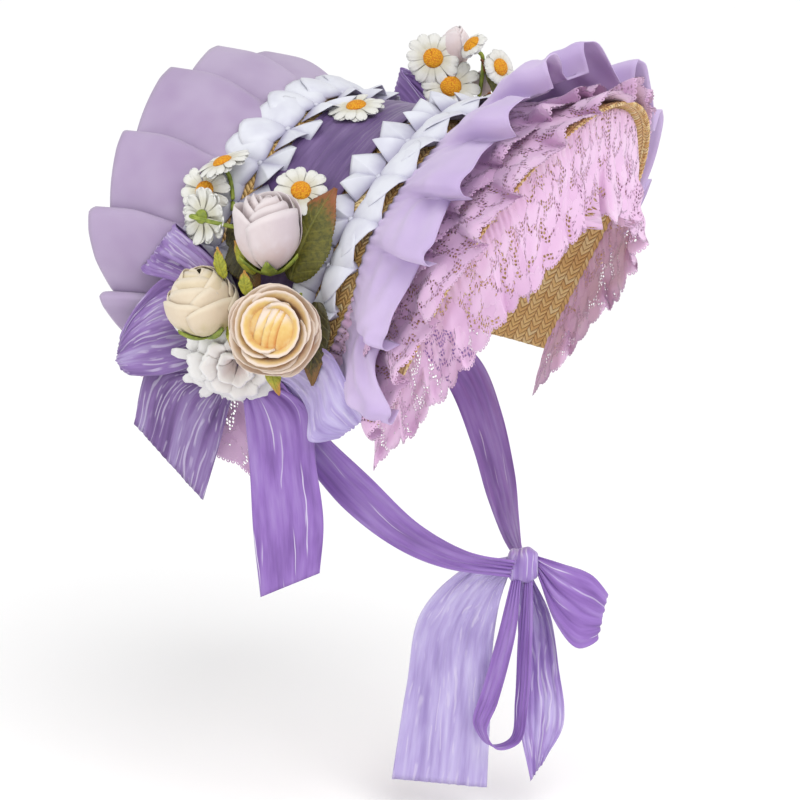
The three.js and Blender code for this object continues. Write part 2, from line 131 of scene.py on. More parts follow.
def outwards(points, along, across):  # the normal of a sheet, facing away from the middle of the crown
    normal = unit(np.cross(along, across))
    away = points * [1, 0, 1] + [0, 0, 85]
    return normal * np.where((normal * away).sum(-1, keepdims=True) < 0, -1.0, 1.0)


def overStraw(y, s, n):  # a point n outside the middle of the straw
    point = archPoint(archAt(y), s)
    across = archPoint(archAt(y - 1), s) - archPoint(archAt(y + 1), s)
    along = archPoint(archAt(y), s + 0.01) - archPoint(archAt(y), s - 0.01)
    return point + outwards(point, along, across) * (np.asarray(n, float)[..., None])


def waves(x, y, seed, count, across, along):  # a smooth random field; across and along are its wavelengths
    rng = np.random.default_rng(seed)
    total = 0
    for _ in range(count):
        fx = rng.uniform(-1, 1) / along
        fy = rng.uniform(0.55, 1.5) / across * rng.choice((-1, 1))
        total = total + np.sin(2 * pi * (fx * x + fy * y) + rng.uniform(0, 2 * pi))
    return total / math.sqrt(count)


def patch(points, x, y, z=0.0, coat=0):  # a grid of points, and the cloth coordinates that its finish reads
    weave = np.stack(np.broadcast_arrays(points[..., 0], x, y, z)[1:], -1)
    return {"points": points, "weave": weave, "coat": coat}


def sew(name, patches, finishes, thick=0.0, merge=False):
    points, weave, faces, coats, start = [], [], [], [], 0
    for p in patches:
        rows, columns = p["points"].shape[:2]
        ids = start + np.arange(rows * columns).reshape(rows, columns)
        quads = np.stack([ids[:-1, :-1], ids[1:, :-1], ids[1:, 1:], ids[:-1, 1:]], -1).reshape(-1, 4)
        points.append(p["points"].reshape(-1, 3))
        weave.append(p["weave"].reshape(-1, 3))
        faces.append(quads)
        coats.append(np.full(len(quads), p["coat"]))
        start += rows * columns
    faces = np.concatenate(faces)
    mesh = bpy.data.meshes.new(name)
    mesh.from_pydata((np.concatenate(points) * mm).tolist(), [], faces.tolist())
    held = mesh.attributes.new("weave", "FLOAT_VECTOR", "POINT")
    held.data.foreach_set("vector", np.concatenate(weave).astype(np.float32).ravel())
    mesh.polygons.foreach_set("material_index", np.concatenate(coats).astype(np.int32))
    mesh.polygons.foreach_set("use_smooth", np.ones(len(faces), bool))
    for finish in finishes:
        mesh.materials.append(finish)
    if merge:
        weld(mesh)
    piece = bpy.data.objects.new(name, mesh)
    bpy.context.scene.collection.objects.link(piece)
    if thick:
        wall = piece.modifiers.new("cloth wall", "SOLIDIFY")
        wall.thickness, wall.offset, wall.use_even_offset = thick * mm, 0, False
    return piece


def weld(mesh):  # joins the points that lie on each other, as at a tube's seam
    work = bmesh.new()
    work.from_mesh(mesh)
    bmesh.ops.remove_doubles(work, verts=work.verts, dist=1e-6)
    bmesh.ops.recalc_face_normals(work, faces=work.faces)
    work.to_mesh(mesh)
    work.free()


def stands(piece, slot, *nodes):
    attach(piece, "root")
    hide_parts(*nodes)


class Wire:  # the value that a shader node gives; sums and products of wires make maths nodes
    def __init__(self, finish, socket):
        self.finish, self.socket = finish, socket

    def calc(self, operation, *others):
        return self.finish.add("Math", dict(enumerate((self, *others))), operation=operation)

    def between(self, low, high):  # 0 under low, 1 over high, smooth between
        return self.finish.add("MapRange", {"Value": self, 1: low, 2: high}, interpolation_type="SMOOTHSTEP")

    def most(self, other):
        return self.calc("MAXIMUM", other)

    def fraction(self):
        return self.calc("FRACT")

    def __add__(self, other):
        return self.calc("ADD", other)

    def __sub__(self, other):
        return self.calc("SUBTRACT", other)

    def __rsub__(self, other):
        return self.finish.add("Math", {0: other, 1: self}, operation="SUBTRACT")

    def __mul__(self, other):
        return self.calc("MULTIPLY", other)

    def __truediv__(self, other):
        return self.calc("DIVIDE", other)

    def __abs__(self):
        return self.calc("ABSOLUTE")


class Finish:  # a material and what wires up its nodes; a colour is a paint card's, or a wire
    def __init__(self, name, **settings):
        self.material = bpy.data.materials.new(name)
        self.material.use_nodes = True
        self.tree = self.material.node_tree
        self.shader = self.tree.nodes["Principled BSDF"]
        for key, value in settings.items():
            self.shader.inputs[key.replace("_", " ")].default_value = value

    def feed(self, entry, value):
        if isinstance(value, Wire):
            self.tree.links.new(value.socket, entry)
        else:
            entry.default_value = value

    def add(self, kind, inputs=None, out=0, **settings):
        made = self.tree.nodes.new("ShaderNode" + kind)
        for key, value in settings.items():
            setattr(made, key, value)
        for key, value in (inputs or {}).items():
            self.feed(made.inputs[key], value)
        return Wire(self, made.outputs[out])

    def split(self, vector):
        made = self.add("SeparateXYZ", {0: vector}).socket.node
        return [Wire(self, socket) for socket in made.outputs]

    def join(self, x, y):
        return self.add("CombineXYZ", {0: x, 1: y})

    def length(self, vector):
        return self.add("VectorMath", {0: vector}, "Value", operation="LENGTH")

    def cloth(self, stretch=(1, 1, 1), turn=0.0):  # the cloth's own coordinates, in millimetres
        held = self.add("Attribute", out="Vector", attribute_name="weave")
        return self.add("Mapping", {"Vector": held, "Rotation": (0, 0, turn), "Scale": stretch})

    def grain(self, place, scale=1.0, detail=2.0, rough=0.5):
        return self.add("TexNoise", {"Vector": place, "Scale": scale, "Detail": detail, "Roughness": rough})

    def solidGrain(self, scale, detail=2.0, rough=0.5):  # grain that runs through the whole piece
        return self.grain(self.add("TexCoord", out="Object"), scale, detail, rough)

    def cells(self, place, size, loose, out):  # flat cells of a size, set out more or less evenly
        inputs = {"Vector": place, "Scale": 1 / size, "Randomness": loose}
        return self.add("TexVoronoi", inputs, out, voronoi_dimensions="2D")

    def mixed(self, share, a, b):
        colours = [value if isinstance(value, Wire) else paint(*value) for value in (a, b)]
        return self.add("Mix", {0: share, 6: colours[0], 7: colours[1]}, 2, data_type="RGBA")

    def ramp(self, value, *stops):
        made = self.add("ValToRGB", {"Fac": value})
        keys = made.socket.node.color_ramp.elements
        while len(keys) < len(stops):
            keys.new(1.0)
        for key, (place, colour) in zip(keys, stops):
            key.position, key.color = place, paint(*colour) if len(colour) == 3 else colour
        return made

    def colour(self, value):
        self.feed(self.shader.inputs["Base Color"], value)

    def relief(self, height, strength, deep):  # deep is in millimetres
        bump = self.add("Bump", {"Height": height, "Strength": strength, "Distance": deep * mm})
        self.feed(self.shader.inputs["Normal"], bump)


# Crushed satin: fine creases run along the ribbon, raised in the relief and mixed towards a pale colour as
# painted highlights. spacing is between creases and run is how long one shows, both in millimetres; few is
# the share left out, glint how light the painted highlights are, wander how far they wave and line how wide
# they are.
satinTones = {
    "bow": dict(
        name="purple satin", deep=(108, 76, 142), middle=(150, 118, 184), light=(182, 164, 212),
        spacing=3.2, run=17.0, few=0.5, glint=0.5, crush=0.5),
    # the bow satin mixed darker, for the back tail: painted shade
    "shadedBow": dict(
        name="shaded purple satin", deep=(92, 62, 122), middle=(130, 98, 160), light=(162, 142, 192),
        spacing=3.2, run=17.0, few=0.5, glint=0.45, crush=0.5),
    "tail": dict(
        name="smooth purple satin", deep=(124, 84, 164), middle=(152, 112, 194), light=(170, 138, 208),
        spacing=9.0, run=70.0, few=0.56, glint=0.85, crush=0.25, wander=7.0, line=0.5),
    # the purple satin mixed lighter, for the front loop and the chin bow's right tail: painted light
    "pale": dict(
        name="lit purple satin", deep=(160, 140, 200), middle=(190, 174, 226), light=(214, 204, 242),
        spacing=4.0, run=18.0, few=0.55, glint=0.45, crush=0.3),
    "chin": dict(
        name="light purple satin", deep=(138, 104, 184), middle=(168, 138, 208), light=(200, 184, 234),
        spacing=3.0, run=34.0, few=0.48, glint=0.6, crush=0.45),
    "crown": dict(
        name="crown satin", deep=(96, 72, 124), middle=(112, 87, 138), light=(132, 108, 158),
        spacing=3.4, run=42.0, few=0.6, glint=0.4, crush=0.3),
}


def creaseLines(f, x, y, spacing, run, few, thin, wander):  # thin lines along x that come and go
    rows = f.grain(f.cloth((1 / 38, 1 / 17, 0))) * (wander / spacing) + y / spacing
    off = abs(rows.fraction() - 0.5)
    shown = f.grain(f.join(x / run, rows.calc("FLOOR") * 7.31), 1.0, 1.0).between(few, few + 0.08)
    return (1.0 - off.between(thin * 0.4, thin)) * shown


def crushedSatin(name, deep, middle, light, spacing, run, few, glint, crush, wander=15.0, line=0.8):
    f = Finish(name, Roughness=0.47, Sheen_Weight=0.25, Sheen_Roughness=0.4, Specular_IOR_Level=0.42)
    x, y, _ = f.split(f.cloth())
    thin = line / spacing
    lines = creaseLines(f, x, y, spacing, run, few, thin, wander)
    second = creaseLines(f, x + 40.0, x * 0.06 + y, spacing * 1.7, run * 0.6, few + 0.03, thin * 0.6, wander)
    folds = f.grain(f.cloth((1 / 45, 1 / 5.5, 0)), 1.0, 3.0, 0.6)
    broad = f.grain(f.cloth((1 / 42, 1 / 16, 0), 0.1))
    # the ground's deep, middle and light tones follow the fold noise that also raises the relief: painted
    # shade and sheen
    ground = f.ramp(folds * 0.5 + broad * 0.5, (0.36, deep), (0.5, middle), (0.64, light))
    # the crease lines are mixed towards a pale colour: painted highlights along the creases
    f.colour(f.mixed(lines.most(second * 0.6) * glint, ground, (230, 220, 246)))
    f.feed(f.shader.inputs["Roughness"], folds * 0.3 + 0.34)
    f.relief(lines * 0.4 + second * 0.25 + folds, crush, 1.2)
    return f.material


def whiteSatin():  # the third cloth coordinate is how high the fold stands, so the hollows can be painted in shade
    f = Finish("white satin", Roughness=0.4, Sheen_Weight=0.15)
    place = f.cloth()
    high = f.split(place)[2]
    # low parts of a fold are mixed darker: painted shade in the hollows; the grain adds tone at random
    value = f.grain(place, 0.08) * 0.5 + high.between(-1.0, 5.0) * 0.5
    f.colour(f.ramp(value, (0.2, (168, 163, 192)), (0.5, (205, 204, 222)), (0.8, (234, 236, 245))))
    f.relief(f.grain(f.cloth((0.5, 4.0, 0.5)), 1.0, 3.0, 0.7), 0.12, 0.2)
    return f.material


def chiffon(name, light, shade):
    f = Finish(name, Roughness=0.82, Sheen_Weight=0.35, Sheen_Roughness=0.6, Specular_IOR_Level=0.25)
    cloud = f.grain(f.cloth((0.03, 0.03, 0.03)))
    crepe = f.grain(f.cloth((2.2, 2.2, 0)), 1.0, 2.0, 0.6)
    f.colour(f.ramp(crepe * 0.16 + cloud * 0.84, (0.28, shade), (0.6, light)))
    f.relief(crepe, 0.16, 0.2)
    through = f.add("BsdfTranslucent", {"Color": paint(*light)})  # some light comes through the cloth
    both = f.add("MixShader", {0: 0.14, 1: Wire(f, f.shader.outputs[0]), 2: through})
    f.feed(f.tree.nodes["Material Output"].inputs["Surface"], both)
    return f.material


# Lace: x runs along the strip and y in from its scalloped edge, both in millimetres. Sprays of small holes
# wind between flowers that are knitted close, and a row of picots edges it.
laceLook = {"flower": 17.0, "petal": 6.6, "spray": 19.0, "hole": 2.4, "picot": 2.8, "hem": 3.0}


def laceFinish():
    f = Finish("floral lace", Roughness=0.75, Sheen_Weight=0.3, Specular_IOR_Level=0.25)
    place = f.cloth((1, 1, 0))
    x, y, _ = f.split(place)
    middle = f.cells(place, laceLook["flower"], 0.6, "Position")
    local = f.add("VectorMath", {0: place, 1: middle}, operation="SUBTRACT")
    localX, localY, _ = f.split(local)
    lobe = abs((localY.calc("ARCTAN2", localX) * 3.0).calc("COSINE"))
    depth = lobe * (0.35 * laceLook["petal"]) + 0.65 * laceLook["petal"] - f.length(local)
    flower = depth.between(-0.3, 0.5)
    cord = 1.0 - abs(depth).between(0.2, 0.6)
    cloud = f.grain(place, 1 / laceLook["spray"], 1.0, 0.4)
    spray = (1.0 - abs(cloud - 0.5).between(0.05, 0.075)) * (1.0 - flower)
    around = (1.0 - abs(depth + 1.9).between(1.1, 1.4)) * cloud.between(0.55, 0.6)
    zone = spray.most(around) * y.between(laceLook["hem"] - 0.4, laceLook["hem"] + 0.4)
    dots = f.cells(place, laceLook["hole"], 0.45, "Distance")
    hole = (1.0 - dots.between(0.28, 0.38)) * zone
    tooth = ((x / laceLook["picot"]).fraction() - 0.5) * laceLook["picot"]
    loop = f.length(f.join(tooth, y - 1.1))
    outside = loop.between(1.1, 1.2).most(1.0 - loop.between(0.35, 0.45))
    border = (1.0 - y.between(1.3, 1.6)) * outside
    f.feed(f.shader.inputs["Alpha"], 1.0 - hole.most(border))
    tall = f.grain(place, 1.1) * 0.22 + dots * (zone * 0.7) + cord * 0.5 + flower * 0.35
    # tone is lighter where the threads stand higher, and the net zones are mixed towards a darker pink:
    # painted shade in the low parts and in the net; the grain adds tone at random
    tone = tall * 0.3 + f.grain(place, 0.05) * 0.6
    colour = f.ramp(tone, (0.2, (228, 184, 223)), (0.42, (238, 198, 233)), (0.75, (246, 218, 242)))
    f.colour(f.mixed(zone * 0.25, colour, (196, 140, 186)))
    f.relief(tall, 0.45, 0.7)
    return f.material


# Plaited straw: rows of braid sewn side by side, each a herringbone of flat strands
strawLook = {
    "thick": 2.0, "row": 8.0, "strand": 3.1, "slant": 0.9,
    "alongSteps": 200, "rowStep": 1.6, "rowHigh": 0.7,  # each row overlaps the next by rowHigh
    "rimStrand": 1.5, "rimStep": 1.3, "rimLift": 0.9,
}


def strawFinish():
    f = Finish("plaited straw", Roughness=0.45, Coat_Weight=0.12, Coat_Roughness=0.3)
    x, y, _ = f.split(f.cloth())
    rows = y / strawLook["row"]
    fold = abs(rows.fraction() - 0.5)
    strands = (fold * (strawLook["row"] * strawLook["slant"]) + x) / strawLook["strand"]
    crown = (strands.fraction() * pi).calc("SINE")
    key = f.join(strands.calc("FLOOR"), rows.calc("FLOOR"))
    chance = f.add("TexWhiteNoise", {"Vector": key}, "Value", noise_dimensions="2D")
    fibres = f.grain(f.cloth((2.0, 0.6, 0), 0.7), 1.0, 4.0, 0.7)
    tone = chance * 0.45 + fibres * 0.55
    colour = f.ramp(tone, (0.15, (220, 168, 96)), (0.5, (246, 206, 132)), (0.85, (255, 238, 184)))
    seam = crown.between(0.05, 0.4) * (0.5 - fold).between(0.0, 0.07)
    f.colour(f.mixed(seam, (172, 116, 56), colour))
    f.relief(crown + fibres * 0.25, 0.9, 0.8)
    return f.material


# Petals: x runs from the base to the rim, y across from -1 to 1, z from the outer ring to the heart
def petalFinish(name, outer, heart, rim, shade, veins=9.0, rimAt=0.88, deepAt=0.5):
    f = Finish(name, Roughness=0.7, Sheen_Weight=0.3, Sheen_Roughness=0.5, Specular_IOR_Level=0.3)
    x, y, z = f.split(f.cloth())
    cloud = f.solidGrain(160.0)
    base = 1.0 - (cloud * 0.4 + x).between(deepAt, deepAt + 0.45)
    ground = f.mixed(z.between(0.2, 0.9), outer, heart)
    ground = f.mixed(base * 0.75, ground, shade)
    ground = f.mixed(x.between(rimAt, rimAt + 0.1), ground, rim)
    f.colour(f.mixed(cloud.between(0.45, 0.8) * 0.35, ground, rim))
    f.relief(f.grain(f.join(x * 1.2, y * veins), 1.0, 3.0, 0.6), 0.35, 0.5)
    return f.material


def discFinish():
    f = Finish("daisy disc", Roughness=0.75)
    beads = f.add("TexVoronoi", {"Vector": f.add("TexCoord", out="Object"), "Scale": 1100.0}, "Distance")
    f.colour(f.ramp(beads, (0.1, (252, 190, 20)), (0.75, (222, 130, 4))))
    f.relief(1.0 - beads, 0.8, 0.5)
    return f.material


def stemFinish():
    f = Finish("green stem", Roughness=0.55)
    cloud = f.solidGrain(240.0, 3.0)
    f.colour(f.ramp(cloud, (0.3, (104, 124, 40)), (0.55, (150, 166, 58)), (0.75, (186, 196, 84))))
    f.relief(cloud, 0.4, 0.4)
    return f.material


# Leaves: x runs from the stalk to the tip, y across from -1 to 1
leafVeins = {"count": 9.0, "slant": 1.6}


def leafFinish(name, green, deep, tip):
    f = Finish(name, Roughness=0.55, Coat_Weight=0.04)
    x, y, _ = f.split(f.cloth())
    side = abs(y)
    slant = side * -leafVeins["slant"] + x * leafVeins["count"]
    vein = 1.0 - abs(slant.fraction() - 0.5).between(0.02, 0.12)
    lines = (vein * 0.5).most(1.0 - side.between(0.02, 0.07))
    speckle = f.solidGrain(420.0, 4.0, 0.7)
    colour = f.ramp(speckle, (0.35, deep), (0.62, green))
    warm = speckle * 0.5 + side * 0.18 + x
    colour = f.mixed(warm.between(1.0, 1.25), colour, tip)
    f.colour(f.mixed(lines * 0.4, colour, (150, 150, 70)))
    f.relief(lines * -0.8 + speckle * 0.3, 0.6, 0.7)
    return f.material


finishes = {
    **{key: crushedSatin(**tone) for key, tone in satinTones.items()},
    "white": whiteSatin(),
    "front": chiffon("front chiffon", (229, 207, 248), (213, 188, 238)),
    "back": chiffon("back chiffon", (199, 180, 213), (181, 157, 197)),
    "lace": laceFinish(),
    "straw": strawFinish(),
    "rose": petalFinish(
        "cream rose petal", outer=(238, 212, 182), heart=(244, 212, 132), rim=(248, 230, 214),
        shade=(214, 116, 42), rimAt=0.84, deepAt=0.66),
    "peony": petalFinish(
        "cream peony petal", outer=(232, 214, 188), heart=(226, 210, 168), rim=(240, 226, 202),
        shade=(206, 192, 130)),
    "bud": petalFinish(
        "blush bud petal", outer=(228, 214, 216), heart=(232, 214, 212), rim=(240, 229, 230),
        shade=(222, 198, 192)),
    "carnation": petalFinish(
        "white carnation petal", outer=(244, 242, 240), heart=(244, 238, 234), rim=(250, 249, 248),
        shade=(236, 218, 214)),
    "daisy": petalFinish(
        "daisy petal", outer=(236, 235, 228), heart=(232, 228, 214), rim=(243, 243, 239),
        shade=(214, 210, 186), veins=3.0),
    "disc": discFinish(),
    "stem": stemFinish(),
    "leaf": leafFinish("printed leaf", green=(114, 110, 34), deep=(72, 74, 22), tip=(150, 86, 44)),
    "darkLeaf": leafFinish("dark leaf", green=(84, 78, 38), deep=(48, 42, 24), tip=(130, 92, 44)),
    "youngLeaf": leafFinish("young leaf", green=(192, 190, 52), deep=(150, 156, 50), tip=(206, 150, 66)),
}
print("finishes mixed:", len(finishes))


# Straw base: the braid is one sheet, with a thicker plait along each edge
def strawBraid():
    first, last, high = archRows[0, 0], archRows[-1, 0], strawLook["rowHigh"]
    s = gridRows(-1, 1, strawLook["alongSteps"])
    y = np.arange(first, last - 0.1, -strawLook["rowStep"])[None, :]
    lift = high * (1 - (first - y) / strawLook["row"] % 1)
    points = overStraw(y + 0 * s, s + 0 * y, lift - high / 2)
    length = runAlong(overStraw(0 * s, s, 0 * s)[:, 0])[:, None]
    cloth = [patch(points, length, first - y)]
    braid = sew("straw_braid", cloth, [finishes["straw"]], strawLook["thick"] - high)
    stands(braid, "straw", "straw_base")


def plait(line, normal, strand, step):  # three flat strands woven round a line
    reach = runAlong(line)
    distance = np.arange(0, reach[-1], step)
    even = lambda v: np.stack([np.interp(distance, reach, v[:, k]) for k in range(3)], -1)
    centre, out = even(line), unit(even(normal))
    side = unit(np.cross(unit(np.gradient(centre, axis=0)), out))
    turns = 2 * pi * distance / (7.5 * strand)
    ring = np.linspace(0, 2 * pi, 9)
    made = []
    for k in range(3):
        shift = turns + 2 * pi * k / 3
        core = centre + side * (1.15 * strand * np.sin(shift))[:, None]
        core = core + out * (0.55 * strand * np.sin(2 * shift))[:, None]
        flat = unit(np.cross(out, unit(np.gradient(core, axis=0))))
        tube = core[:, None] + flat[:, None] * (0.95 * strand * np.cos(ring))[:, None]
        tube = tube + out[:, None] * (0.42 * strand * np.sin(ring))[:, None]
        made.append(patch(tube, distance[:, None], 3 + 2 * np.cos(ring)))
    return made


def strawRims():
    s = np.linspace(-0.995, 0.995, 260)
    strips = []
    for y in (archRows[-1, 0] + strawLook["rimStrand"], archRows[0, 0] - strawLook["rimStrand"]):
        line = overStraw(np.full_like(s, y), s, np.full_like(s, strawLook["rimLift"]))
        inner = overStraw(np.full_like(s, y), s, np.full_like(s, strawLook["rimLift"] - 1))
        strips += plait(line, unit(line - inner), strawLook["rimStrand"], strawLook["rimStep"])
    piece = sew("straw_rim_plait", strips, [finishes["straw"]], merge=True)
    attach(piece, "root")


strawBraid()
strawRims()
print("straw braided")

# The ribbon over the crown. half is half its width, and long its length for a step of 1 in s.
crownLook = {
    "half": 28.0, "long": 210, "end": 0.85, "lift": 2.2, "crease": 0.55, "thick": 0.5,
    "flat": (0.058, 0.355),
}


def crownRibbon():
    s = gridRows(-crownLook["end"], crownLook["end"], 200)
    y = gridColumns(crownLook["half"], -crownLook["half"], 56)
    length, across = s * crownLook["long"], y + 0 * s
    field = waves(length, across, 4, 14, 9, 160)
    height = crownLook["lift"] + crownLook["crease"] * (1 - np.abs(field))
    height = height + 0.5 * waves(length, across, 5, 6, 30, 200)
    points = overStraw(across, s + 0 * y, np.maximum(height, 1.5))
    piece = sew(
        "crown_ribbon_cloth", [patch(points, length, y, height)], [finishes["crown"]], crownLook["thick"])
    stands(piece, "crown_ribbon", "crown_ribbon")


# A trim is a row of satin folds pinched in the middle: creased corners on the ribbon side, round loops on
# the other
trimLook = {
    "units": 13, "end": 0.86, "lift": 1.9, "high": 9.0, "pinch": 1.5, "thick": 0.4, "flat": (0.044, 0.58),
    "pointed": dict(long=21.0, wide=12.5, petals=((66, 1.0), (124, 0.8))),  # turn and share of its length
    "round": dict(long=25.0, wide=13.5, petals=((-54, 1.0), (-124, 1.0))),
}
trims = {"front_petal_trim": dict(y=-45.5, side=1, seed=3), "back_petal_trim": dict(y=37.0, side=-1, seed=8)}


def pointedFold(u, w, wide, tall, crease):  # two flat faces that meet in a sharp crease, cut to a corner
    v = w + crease * (1 - np.abs(w))
    reach = u * (1.1 - 0.4 * np.abs(w))
    dome = tall * (u * (1.7 - 0.9 * u)) * (1 - np.abs(w)) - 1.2 * u * np.abs(w) ** 2
    return wide * (0.08 + 0.92 * u) * v, reach, dome


def roundFold(u, v, wide, tall, _):  # a loop that stands open at its outer end, with no crease
    half = wide * (0.12 + 0.88 * np.sin(pi / 2 * np.minimum(u / 0.8, 1)))
    reach = u * (1 - 0.16 * v ** 2)
    dome = tall * (1 - np.abs(v) ** 2.6) ** 0.6 * u ** 0.6 - 1.6 * u ** 3 * (1 - v ** 2)
    return half * v, reach, dome


def pinchedTrim(node, look):
    rng = np.random.default_rng(look["seed"])
    u = gridRows(0, 1, 12)
    w = np.array([-1, -0.97, -0.7, -0.35, -0.05, 0, 0.05, 0.35, 0.7, 0.97, 1])[None, :]
    ring = gridRows(0, pi / 2, 4)
    around = gridColumns(0, 2 * pi, 9)
    pinch, strips = trimLook["pinch"], []
    for k in range(trimLook["units"]):
        s0 = trimLook["end"] * (2 * (k + 0.5) / trimLook["units"] - 1)
        for form, fold in (("pointed", pointedFold), ("round", roundFold)):
            for i, (turn, share) in enumerate(trimLook[form]["petals"]):
                angle = math.radians(turn + rng.uniform(-9, 9))
                long = trimLook[form]["long"] * share * rng.uniform(0.94, 1.05)
                wide = trimLook[form]["wide"] * rng.uniform(0.94, 1.06)
                tall = trimLook["high"] * rng.uniform(0.85, 1.15)
                half, reach, dome = fold(u, w, wide, tall, rng.uniform(-0.35, 0.35))
                sideways, forward = turned(reach * long, half, angle)
                n = trimLook["lift"] + dome + 0.7 * i + 0.5 * u
                points = overStraw(look["y"] + look["side"] * forward, s0 + sideways / alongArch, n)
                strips.append(patch(points, u * long + k * 30, half, dome))
        y = look["y"] + pinch * np.sin(ring) * np.cos(around)
        s = s0 + pinch * np.sin(ring) * np.sin(around) / alongArch
        strips.append(patch(overStraw(y, s, 3.4 + 1.2 * np.cos(ring) + 0 * around), 1.0, 1.0, 3.0))
    piece = sew(node + "_pleats", strips, [finishes["white"]], trimLook["thick"])
    stands(piece, "white_satin", node)


crownRibbon()
for node, look in trims.items():
    pinchedTrim(node, look)
print("crown ribbon and trims laid")

# Ruffles. A fold form is the section of one fold: how far along it, x along the edge, with x past its
# neighbours where the cloth laps over itself, and height.
foldForms = {
    "lap": [(0, 0, 0), (0.07, -0.03, 0.22), (0.14, -0.09, 0.62), (0.22, -0.05, 0.95), (0.34, 0.12, 1),
            (0.62, 0.5, 0.6), (0.88, 0.88, 0.14), (1, 1, 0)],
    "knife": [(0, 0, 0), (0.1, 0.08, 0.12), (0.4, 0.44, 0.5), (0.68, 0.86, 0.92), (0.79, 1.06, 1),
              (0.86, 1.12, 0.72), (0.93, 1.07, 0.2), (1, 1, 0)],
    "gather": [(0, 0, 0), (0.15, 0.2, 0.12), (0.35, 0.36, 0.7), (0.5, 0.5, 1), (0.65, 0.64, 0.7),
               (0.85, 0.8, 0.12), (1, 1, 0)],
}


def foldSection(form, steps):
    rows = np.array(foldForms[form], float)
    reach = np.concatenate([rows[:-1] - [1, 1, 0], rows, rows[1:] + [1, 1, 0]])
    many = np.linspace(-1, 2, 603)
    soft = np.hanning(15) / np.hanning(15).sum()
    t = np.arange(steps) / steps
    sections = [np.convolve(np.interp(many, reach[:, 0], reach[:, c]), soft, "same") for c in (1, 2)]
    return [np.interp(t, many, section) for section in sections]


# How a ruffle hangs: seam is its place and height on the straw, and seamForward brings the seam's ends
# forward from seamFrom on. deep is a fold's height, sink how much of it lies below, open from where to where
# between seam and edge the folds open, belly how far the cloth swells, lip and step how far the folds stand
# out and slant at the edge, farLess how much less at the far side.
plainRuffle = dict(
    slot="lace", finish="lace", thick=0.35, form="lap", folds=15, perFold=42, columns=24, end=0.985, belly=0,
    lip=0, step=0, farLess=0, rumple=0.9, sink=0.5, side=1, seamForward=0, seamFrom=0.84, scallops=0,
    scallopDeep=0.05)
ruffleLooks = {
    "front_chiffon_ruffle": dict(
        finish="front", slot="front_chiffon", seam=(-67, 2.85), edge="frontChiffon", folds=11, perFold=40,
        columns=26, widths=(0.2, 0.19, 0.14, 0.16, 0.17, 0.17, 0.17, 0.2, 0.2, 0.2, 0.2), deep=8.5,
        uneven=0.25, open=(-0.1, 0.85), seed=12, belly=3, lip=6, step=22, farLess=0.95, rumple=1.0,
        seamForward=-26, seamFrom=0.55, sink=0.12, thick=0.5, flat=(0.062, 0.8)),
    "back_chiffon_ruffle": dict(
        finish="back", slot="back_chiffon", seam=(47, 2.85), edge="backChiffon", form="knife", folds=10,
        widths=(0.16, 0.23, 0.20, 0.22, 0.17, 0.17, 0.18, 0.22, 0.25, 0.20), deep=6.0, uneven=0.12,
        open=(-0.15, 0.75), seed=5, belly=2, lip=10, rumple=0, sink=0.15, thick=0.5, flat=(0.075, 0.53)),
    "outer_lace_upper": dict(
        seam=(-75, 2.6), edge="upperLace", end=0.975, perFold=44, deep=5.6, uneven=0.3, open=(0.35, 1.05),
        seed=21, sink=0.22, lip=4, scallops=50, flat=(0.047, 0.55)),
    "outer_lace_lower": dict(
        seam=(-106, 2.8), edge="lowerLace", end=0.99, perFold=44, columns=22, deep=6.4, uneven=0.35,
        open=(0.25, 1.0), seed=33, sink=0.25, lip=5, scallops=54, scallopDeep=0.06, flat=(0.048, 0.56)),
    "under_brim_lace": dict(
        seam=(-138, -2.25), edge="underLace", deep=-5.5, uneven=0.3, open=(0.2, 1.0), seed=44, sink=0.1,
        rumple=0.8, lip=9, scallops=48, scallopDeep=0.08, side=-1, flat=(0.05, 0.54)),
    "back_lace": dict(
        seam=(44, -2.25), edge="backLace", form="gather", end=1.0, folds=14, deep=3.4, uneven=0.35,
        open=(0, 0.9), seed=57, lip=2, seamForward=-50, scallops=44, side=-1, flat=(0.062, 0.55)),
}
gathers = {"high": 0.6, "each": 6, "at": 0.04, "wide": 0.16}  # the small gathers along a seam
rumples = {"long": 520, "wide": 60, "count": 10, "across": 24, "along": 30}  # the cloth's own unevenness


